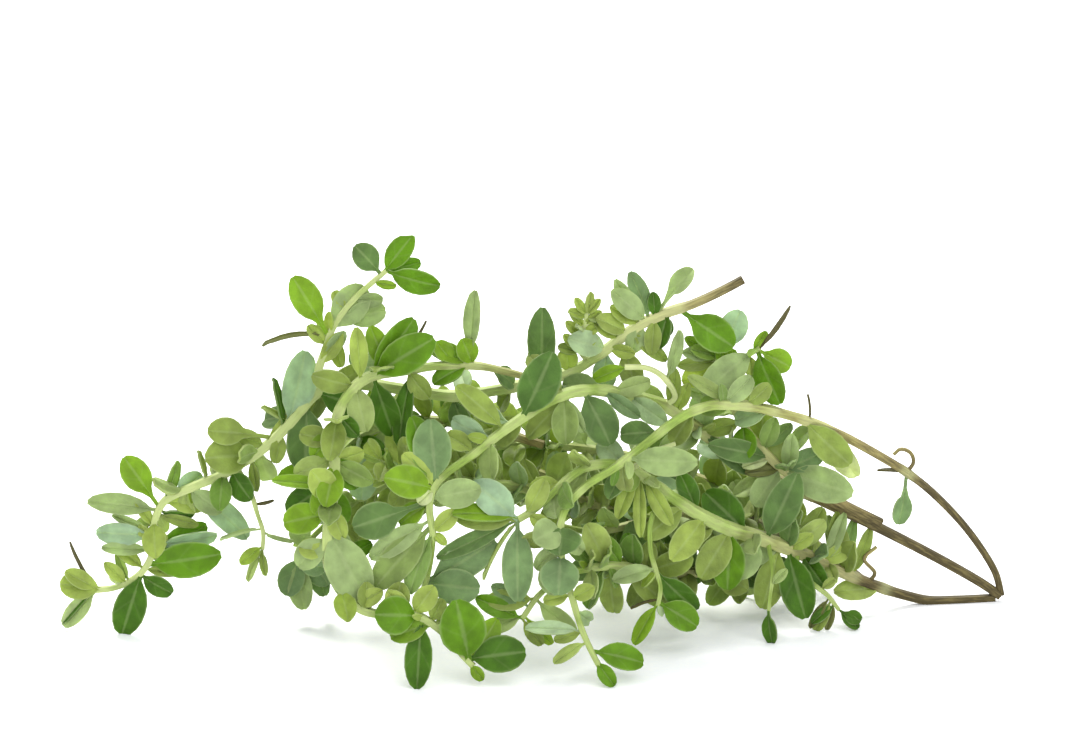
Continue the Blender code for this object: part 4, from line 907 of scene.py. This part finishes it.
def leaf_pattern(name, rows, columns, cup, materials):
    """One flat leaf, modelled once at a usual size: a sheet drawn in to a stalk and an oval blade.

    rows are (share of the length, share of the width). Its halves arch up, so that its margins
    turn down a little, as a thyme leaf's do.
    """
    clear_selection()
    bpy.ops.mesh.primitive_grid_add(
        x_subdivisions=columns, y_subdivisions=len(rows) - 1, size=1, location=(0, 0, 0),
        enter_editmode=True,
    )
    obj = bpy.context.object
    obj.name = name
    # The sheet waits well to one side, and each row is then moved from there to its place.
    aside, touch = 100, 0.01
    bpy.ops.transform.resize(value=(USUAL_WIDTH, 1, 1))
    bpy.ops.transform.translate(value=(0, -aside, 0))
    for i, (share, width) in enumerate(rows):
        row = i / (len(rows) - 1) - (aside + 0.5)
        select_verts(obj, lambda co: abs(co.y - row) < touch)
        bpy.ops.transform.resize(value=(width, 1, 1), center_override=(0, 0, 0))
        bpy.ops.transform.translate(value=(0, share * USUAL_LENGTH - row, 0))
    if cup:
        first, last = [share * USUAL_LENGTH for share in ARCH_LENGTH]
        select_verts(obj, lambda co: touch < abs(co.x) < ARCH_WIDTH * USUAL_WIDTH and first < co.y < last)
        bpy.ops.transform.translate(value=(0, 0, cup))
    bpy.ops.object.mode_set(mode="OBJECT")
    bpy.ops.object.transform_apply(location=True, rotation=True, scale=True)
    for material in materials:
        obj.data.materials.append(material)
    for face in obj.data.polygons:
        face.material_index = 1
    solid = obj.modifiers.new("Thickness", "SOLIDIFY")
    solid.thickness = LEAF_THICKNESS
    solid.offset = 0
    solid.material_offset = 1
    bpy.ops.object.modifier_apply(modifier=solid.name)
    add_attributes(obj.data)
    return obj


def add_attributes(mesh):
    for kind in ("tone", "fresh", "dry"):
        mesh.attributes.new(kind, "FLOAT", "POINT")
    mesh.attributes.new("bark", "FLOAT_VECTOR", "POINT")


def stalked(share, stalk):
    """A share of the pattern's length, moved for a leaf whose blade starts at another share than usual."""
    if share < BLADE_ROW:
        return share / BLADE_ROW * stalk
    return stalk + (share - BLADE_ROW) / (1 - BLADE_ROW) * (1 - stalk)


def placed_copy(pattern, leaf):
    """A copy of the leaf pattern, bent and turned to its place, with its own mesh."""
    mesh = pattern.data.copy()
    width = leaf.dressed_width * (ROLLED if leaf.dry else 1)
    for vert in mesh.vertices:
        x, y, z = vert.co
        place = leaf.point(stalked(y / USUAL_LENGTH, leaf.stalk), x / USUAL_WIDTH * width, z)
        vert.co = kept_in_box(place * MM)
    looks = {"tone": leaf.tone, "fresh": leaf.fresh, "dry": 1.0 if leaf.dry else leaf.withered}
    for kind, value in looks.items():
        mesh.attributes[kind].data.foreach_set("value", [value] * len(mesh.vertices))
    obj = bpy.data.objects.new("leaf", mesh)
    bpy.context.collection.objects.link(obj)
    return obj


def stem_copy(stem, joints, woody, paleness, materials):
    """A stem: a tube with a ring every half millimetre, laid along its line and thicker at its joints."""
    clear_selection()
    runs = math.ceil(stem.length / RUN_LENGTH)
    bpy.ops.mesh.primitive_cylinder_add(
        vertices=STEM_SIDES, radius=1, depth=1, location=(0, 0, 0.5), end_fill_type="NGON",
        enter_editmode=True,
    )
    obj = bpy.context.object
    obj.name = "stem"
    # Only the edges that run up the tube are cut, first into runs and then into rings.
    bpy.ops.mesh.select_mode(type="EDGE")
    level = 1e-4
    for cuts in (runs - 1, RUN_RINGS - 1):
        mesh = bmesh.from_edit_mesh(obj.data)
        for edge in mesh.edges:
            edge.select = abs(edge.verts[0].co.z - edge.verts[1].co.z) > level
        bmesh.update_edit_mesh(obj.data)
        if cuts:
            bpy.ops.mesh.subdivide(number_cuts=cuts)
    bpy.ops.mesh.select_mode(type="VERT")
    bpy.ops.object.mode_set(mode="OBJECT")
    bpy.ops.object.transform_apply(location=True, rotation=True, scale=True)
    mesh = obj.data
    for material in materials:
        mesh.materials.append(material)
    add_attributes(mesh)
    bark, fresh, tone = [mesh.attributes[kind].data for kind in ("bark", "fresh", "tone")]
    woody_to, turning = woody
    for vert in mesh.vertices:
        distance = min(1, max(0, vert.co.z)) * stem.length
        ahead = (stem.at(distance + 1) - stem.at(distance - 1)).normalized()
        across = level_side(ahead)
        over = ahead.cross(across)
        turn = math.atan2(vert.co.y, vert.co.x)
        squareness = 1 - SQUARENESS * math.cos(4 * turn)
        joint = min(1, sum(math.exp(-(((distance - at) / JOINT_LENGTH) ** 2)) for at in joints))
        reach = stem.radius(distance) * squareness * (1 + JOINT_SWELLING * joint)
        place = stem.at(distance) + reach * (math.cos(turn) * across + math.sin(turn) * over)
        vert.co = kept_in_box(place * MM)
        bark[vert.index].vector = (math.cos(turn), math.sin(turn), distance)
        # 0 is woody brown, and 1 is a green tip.
        fresh[vert.index].value = min(1, max(0, (distance - woody_to) / turning))
        tone[vert.index].value = joint + paleness * fresh[vert.index].value
    return obj


def sprig_piece(name, sprig, leaves, patterns, materials):
    """One whole sprig as one mesh: its stems and all of its leaves."""
    broad, narrow = patterns
    parts = []
    for stem in SPRIGS[sprig].values():
        joints = [leaf.distance for leaf in leaves if leaf.stem is stem and not leaf.small]
        woody = WOODY_STEMS.get(stem.name, WOODY_SHOOT if stem.parent else LOOKS[sprig][0])
        paleness = PALENESS.get(stem.name, PALENESS.get(sprig, 0))
        parts.append(stem_copy(stem, joints, woody, paleness, materials))
    for leaf in leaves:
        parts.append(placed_copy(narrow if leaf.small or leaf.dry else broad, leaf))
    clear_selection()
    for part in parts:
        part.select_set(True)
    bpy.context.view_layer.objects.active = parts[0]
    bpy.ops.object.join()
    piece = bpy.context.object
    piece.name = name
    piece.data.name = name
    bpy.ops.object.shade_smooth_by_angle(angle=SMOOTH_UP_TO)
    return piece


def linear(colour):
    """An sRGB hex colour as linear light."""
    channels = [int(colour[i:i + 2], 16) / 255 for i in (1, 3, 5)]
    return (*[c / 12.92 if c <= 0.04045 else ((c + 0.055) / 1.055) ** 2.4 for c in channels], 1)


def add_node(tree, kind, inputs=None, stops=None, **settings):
    """Add a node with its settings. An input is given a value, or the socket or node it is linked from.

    A node that is linked from gives the first of its outputs that is in use.
    """
    node = tree.nodes.new("ShaderNode" + kind)
    for key, value in settings.items():
        setattr(node, key, value)
    for key, value in (inputs or {}).items():
        if isinstance(value, bpy.types.Node):
            value = next(socket for socket in value.outputs if socket.enabled)
        if isinstance(value, bpy.types.NodeSocket):
            tree.links.new(value, node.inputs[key])
        else:
            node.inputs[key].default_value = value
    if stops:
        ramp = node.color_ramp
        while len(ramp.elements) < len(stops):
            ramp.elements.new(0.5)
        for element, (place, colour) in zip(ramp.elements, stops):
            element.position = place
            element.color = linear(colour)
    return node


def new_material(name):
    material = bpy.data.materials.new(name)
    material.use_nodes = True
    material.node_tree.nodes.clear()
    return material


def leaf_material(name, tones, young, vein_and_edge_highlight_colour):
    """Living thyme leaf, matt from the fine hairs on it.

    tones run from the deepest to the most bluish leaf, and young from older to newest growth. The rib
    and its few side veins are paler. The thin margin is painted paler too, a painted highlight where
    light catches the edge, in the veins' colour. Light comes through it, yellower.
    """
    material = new_material(name)
    tree = material.node_tree
    tone, fresh, dry = [
        add_node(tree, "Attribute", attribute_name=kind).outputs["Fac"] for kind in ("tone", "fresh", "dry")]
    place = add_node(tree, "TexCoord")
    sheet = add_node(tree, "SeparateXYZ", {0: place.outputs["UV"]})
    grown = add_node(tree, "ValToRGB", {0: tone}, tones)
    new = add_node(tree, "ValToRGB", {0: tone}, young)
    colour = add_node(tree, "Mix", {0: fresh, 6: grown, 7: new}, data_type="RGBA")
    # Blotches 2.5 mm across, because no leaf is one even green.
    blotch = add_node(tree, "TexNoise", {
        "Vector": place.outputs["Object"], "Scale": 1 / (2.5 * MM), "Detail": 3.0})
    blotch = add_node(tree, "MapRange", {0: blotch, 1: 0.35, 2: 0.65, 3: 0.80, 4: 1.14})
    colour = add_node(tree, "Mix", {0: 1.0, 6: colour, 7: blotch}, data_type="RGBA", blend_type="MULTIPLY")
    # How far out from the rib: 0 on it, and 1 at the margin.
    offset = add_node(tree, "Math", {0: sheet.outputs[0], 1: 0.5}, operation="SUBTRACT")
    offset = add_node(tree, "Math", {0: offset}, operation="ABSOLUTE")
    offset = add_node(tree, "Math", {0: offset, 1: 2.0}, operation="MULTIPLY")
    # Side veins: four pairs, which run out and forward from the rib.
    slope = add_node(tree, "Math", {0: offset, 1: -1.1}, operation="MULTIPLY")
    run = add_node(tree, "Math", {0: sheet.outputs[1], 1: 4.5, 2: slope}, operation="MULTIPLY_ADD")
    wave = add_node(tree, "Math", {0: run, 1: 1.0}, operation="PINGPONG")
    # Masks: the rib, the margin (where a painted highlight stands for light catching the edge), and the side
    # veins.
    rib, painted_edge_highlight, side_vein = [
        add_node(tree, "MapRange", {0: source, 1: start, 2: end, 3: first, 4: 1 - first},
                 interpolation_type="SMOOTHSTEP")
        for source, start, end, first in ((offset, 0.02, 0.16, 1), (offset, 0.86, 1, 0), (wave, 0, 0.16, 1))]
    veins = add_node(tree, "Math", {0: side_vein, 1: 0.22, 2: rib}, operation="MULTIPLY_ADD", use_clamp=True)
    veins_and_painted_edge_highlight = add_node(tree, "Math", {0: veins, 1: 0.19}, operation="MULTIPLY")
    # The veins are the leaf's own paler colour. The margin is a painted highlight of light catching the edge,
    # in the same colour.
    veins_and_painted_edge_highlight = add_node(tree, "Math", {0: painted_edge_highlight, 1: 0.28, 2: veins_and_painted_edge_highlight}, operation="MULTIPLY_ADD", use_clamp=True)
    colour = add_node(tree, "Mix", {0: veins_and_painted_edge_highlight, 6: colour, 7: linear(vein_and_edge_highlight_colour)}, data_type="RGBA")
    colour = add_node(tree, "Mix", {0: dry, 6: colour, 7: linear("#5E5A34")}, data_type="RGBA")
    # The hairs and oil glands make a fine grain, drawn at 0.35 mm, coarser than the real 0.1 mm.
    grain = add_node(tree, "TexNoise", {
        "Vector": place.outputs["Object"], "Scale": 1 / (0.35 * MM), "Detail": 2.0})
    height = add_node(tree, "Math", {0: veins, 1: -0.6, 2: grain}, operation="MULTIPLY_ADD")
    bump = add_node(tree, "Bump", {"Height": height, "Strength": 0.45, "Distance": 0.12 * MM})
    surface = add_node(tree, "BsdfPrincipled", {
        "Base Color": colour, "Roughness": 0.5, "IOR": 1.42, "Normal": bump, "Specular IOR Level": 0.3,
        "Sheen Weight": 0.1, "Sheen Roughness": 0.4})
    through = add_node(tree, "Mix", {0: 1.0, 6: colour, 7: linear("#F6F47C")},
                       data_type="RGBA", blend_type="MULTIPLY")
    through = add_node(tree, "BsdfTranslucent", {"Color": through, "Normal": bump})
    both = add_node(tree, "MixShader", {0: 0.4, 1: surface, 2: through})
    add_node(tree, "OutputMaterial", {0: both})
    return material


def stem_material():
    """Thyme stem: grey-brown bark at the foot, and smooth pale green where it is this year's growth."""
    material = new_material("thyme stem, woody to green")
    tree = material.node_tree
    fresh, joint = [
        add_node(tree, "Attribute", attribute_name=kind).outputs["Fac"] for kind in ("fresh", "tone")]
    bark = add_node(tree, "Attribute", attribute_name="bark").outputs["Vector"]
    # Fibres: long streaks along the stem, about six round it and 5 mm long.
    fibre = add_node(tree, "Mapping", {0: bark, 3: (2.2, 2.2, 0.35)})
    fibre = add_node(tree, "TexNoise", {"Vector": fibre, "Scale": 1.0, "Detail": 4.0, "Roughness": 0.6})
    age = add_node(tree, "Math", {0: fibre, 1: 0.5}, operation="SUBTRACT")
    age = add_node(tree, "Math", {0: age, 1: 0.5, 2: fresh}, operation="MULTIPLY_ADD", use_clamp=True)
    colour = add_node(tree, "ValToRGB", {0: age}, [
        (0.0, "#463D20"), (0.25, "#7C7246"), (0.5, "#8A8550"), (0.75, "#878F50"), (1.0, "#7D9541")])
    streak = add_node(tree, "MapRange", {0: fibre, 1: 0.3, 2: 0.7, 3: 0.68, 4: 1.3})
    colour = add_node(tree, "Mix", {0: 1.0, 6: colour, 7: streak}, data_type="RGBA", blend_type="MULTIPLY")
    # A joint is a little paler and greener than the stem, and so is all of a pale stem.
    paler = add_node(tree, "Math", {0: joint, 1: 0.3}, operation="MULTIPLY", use_clamp=True)
    colour = add_node(tree, "Mix", {0: paler, 6: colour, 7: linear("#C2CA90")}, data_type="RGBA")
    bump = add_node(tree, "Bump", {"Height": fibre, "Strength": 0.6, "Distance": 0.25 * MM})
    surface = add_node(tree, "BsdfPrincipled", {
        "Base Color": colour, "Roughness": 0.6, "IOR": 1.45, "Normal": bump, "Specular IOR Level": 0.3})
    add_node(tree, "OutputMaterial", {0: surface})
    return material


def floor_material():
    """Matt white card: an even pale sheet with the faintest tooth, 0.8 mm across."""
    material = new_material("matt white card")
    tree = material.node_tree
    place = add_node(tree, "TexCoord")
    tooth = add_node(tree, "TexNoise", {
        "Vector": place.outputs["Object"], "Scale": 1 / (0.8 * MM), "Detail": 2.0})
    bump = add_node(tree, "Bump", {"Height": tooth, "Strength": 0.15, "Distance": 0.05 * MM})
    colour = add_node(tree, "ValToRGB", {0: tooth}, [(0.3, "#F8FAFF"), (0.7, "#FCFDFF")])
    surface = add_node(tree, "BsdfPrincipled", {
        "Base Color": colour, "Roughness": 0.75, "Normal": bump, "Specular IOR Level": 0.2})
    add_node(tree, "OutputMaterial", {0: surface})
    return material


def look_from(obj, place, target):
    obj.location = place
    obj.rotation_euler = (Vector(target) - Vector(place)).to_track_quat("-Z", "Y").to_euler()


def add_camera():
    """A long lens, a little above the table and square to the bundle's length."""
    data = bpy.data.cameras.new("camera")
    camera = bpy.data.objects.new("camera", data)
    bpy.context.scene.collection.objects.link(camera)
    target = Vector((0, -ORIGIN_BACK * MM, AIM_HEIGHT * MM))
    tilt = math.radians(CAMERA_TILT)
    place = target + CAMERA_DISTANCE * Vector((0, -math.cos(tilt), math.sin(tilt)))
    look_from(camera, place, target)
    data.sensor_width = 36
    data.lens = data.sensor_width * CAMERA_DISTANCE / (VIEW_WIDTH * MM)
    bpy.context.scene.camera = camera


def add_light(name, place, size, power, colour):
    data = bpy.data.lights.new(name, "AREA")
    data.shape = "DISK"
    data.size = size
    data.energy = power
    data.color = linear(colour)[:3]
    light = bpy.data.objects.new(name, data)
    bpy.context.scene.collection.objects.link(light)
    look_from(light, place, (0, 0, 0.02))


def add_studio():
    """A white card as the floor, an even white surround, a soft key from behind and a fill from in front."""
    clear_selection()
    bpy.ops.mesh.primitive_plane_add(size=6, location=(0, 0, 0))
    floor = bpy.context.object
    floor.name = "floor"
    floor.data.materials.append(floor_material())
    world = bpy.data.worlds.new("studio")
    world.use_nodes = True
    world.node_tree.nodes["Background"].inputs["Color"].default_value = linear("#FFFFFF")
    world.node_tree.nodes["Background"].inputs["Strength"].default_value = 1.08
    bpy.context.scene.world = world
    bpy.context.scene.view_settings.view_transform = "Standard"
    add_light("key", (-0.25, 0.8, 0.95), 0.6, 22, "#FFFDF6")
    add_light("fill", (0.5, -1.0, 0.8), 1.2, 10, "#FAFAFA")


def main():
    clear_selection()
    add_camera()
    add_studio()
    materials = [
        stem_material(),
        # The last colour of each leaf material is that of its veins and of the painted highlight on its margin.
        leaf_material("thyme leaf, upper face", [
            (0.0, "#466F18"), (0.2, "#638144"), (0.3, "#7B9863"), (0.4, "#8EA14F"), (0.6, "#A1B066"),
            (0.8, "#9FB77D"), (1.0, "#A3BF9D"),
        ], [(0.0, "#689416"), (0.35, "#8CB026"), (0.7, "#B0C54E"), (1.0, "#CED8A0")], "#C4D49A"),
        leaf_material("thyme leaf, felted underside", [
            (0.0, "#6A9038"), (0.2, "#809C60"), (0.4, "#96B062"), (0.6, "#A4B976"), (0.8, "#A8C18A"),
            (1.0, "#B6CCA8"),
        ], [(0.0, "#7CAC2C"), (0.35, "#9ABF42"), (0.7, "#B6CC66"), (1.0, "#D0DCAC")], "#D2DDB2"),
    ]
    patterns = (
        leaf_pattern("broad leaf pattern", BROAD_ROWS, 4, CUP, materials),
        leaf_pattern("narrow leaf pattern", NARROW_ROWS, 2, 0, materials),
    )
    for sprig, leaves in grow_bundle().items():
        name = sprig.removeprefix("sprig_") + "_sprig"
        piece = sprig_piece(name, sprig, leaves, patterns, materials)
        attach(piece, "root")
        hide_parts(sprig)
    for pattern in patterns:
        bpy.data.objects.remove(pattern)


main()
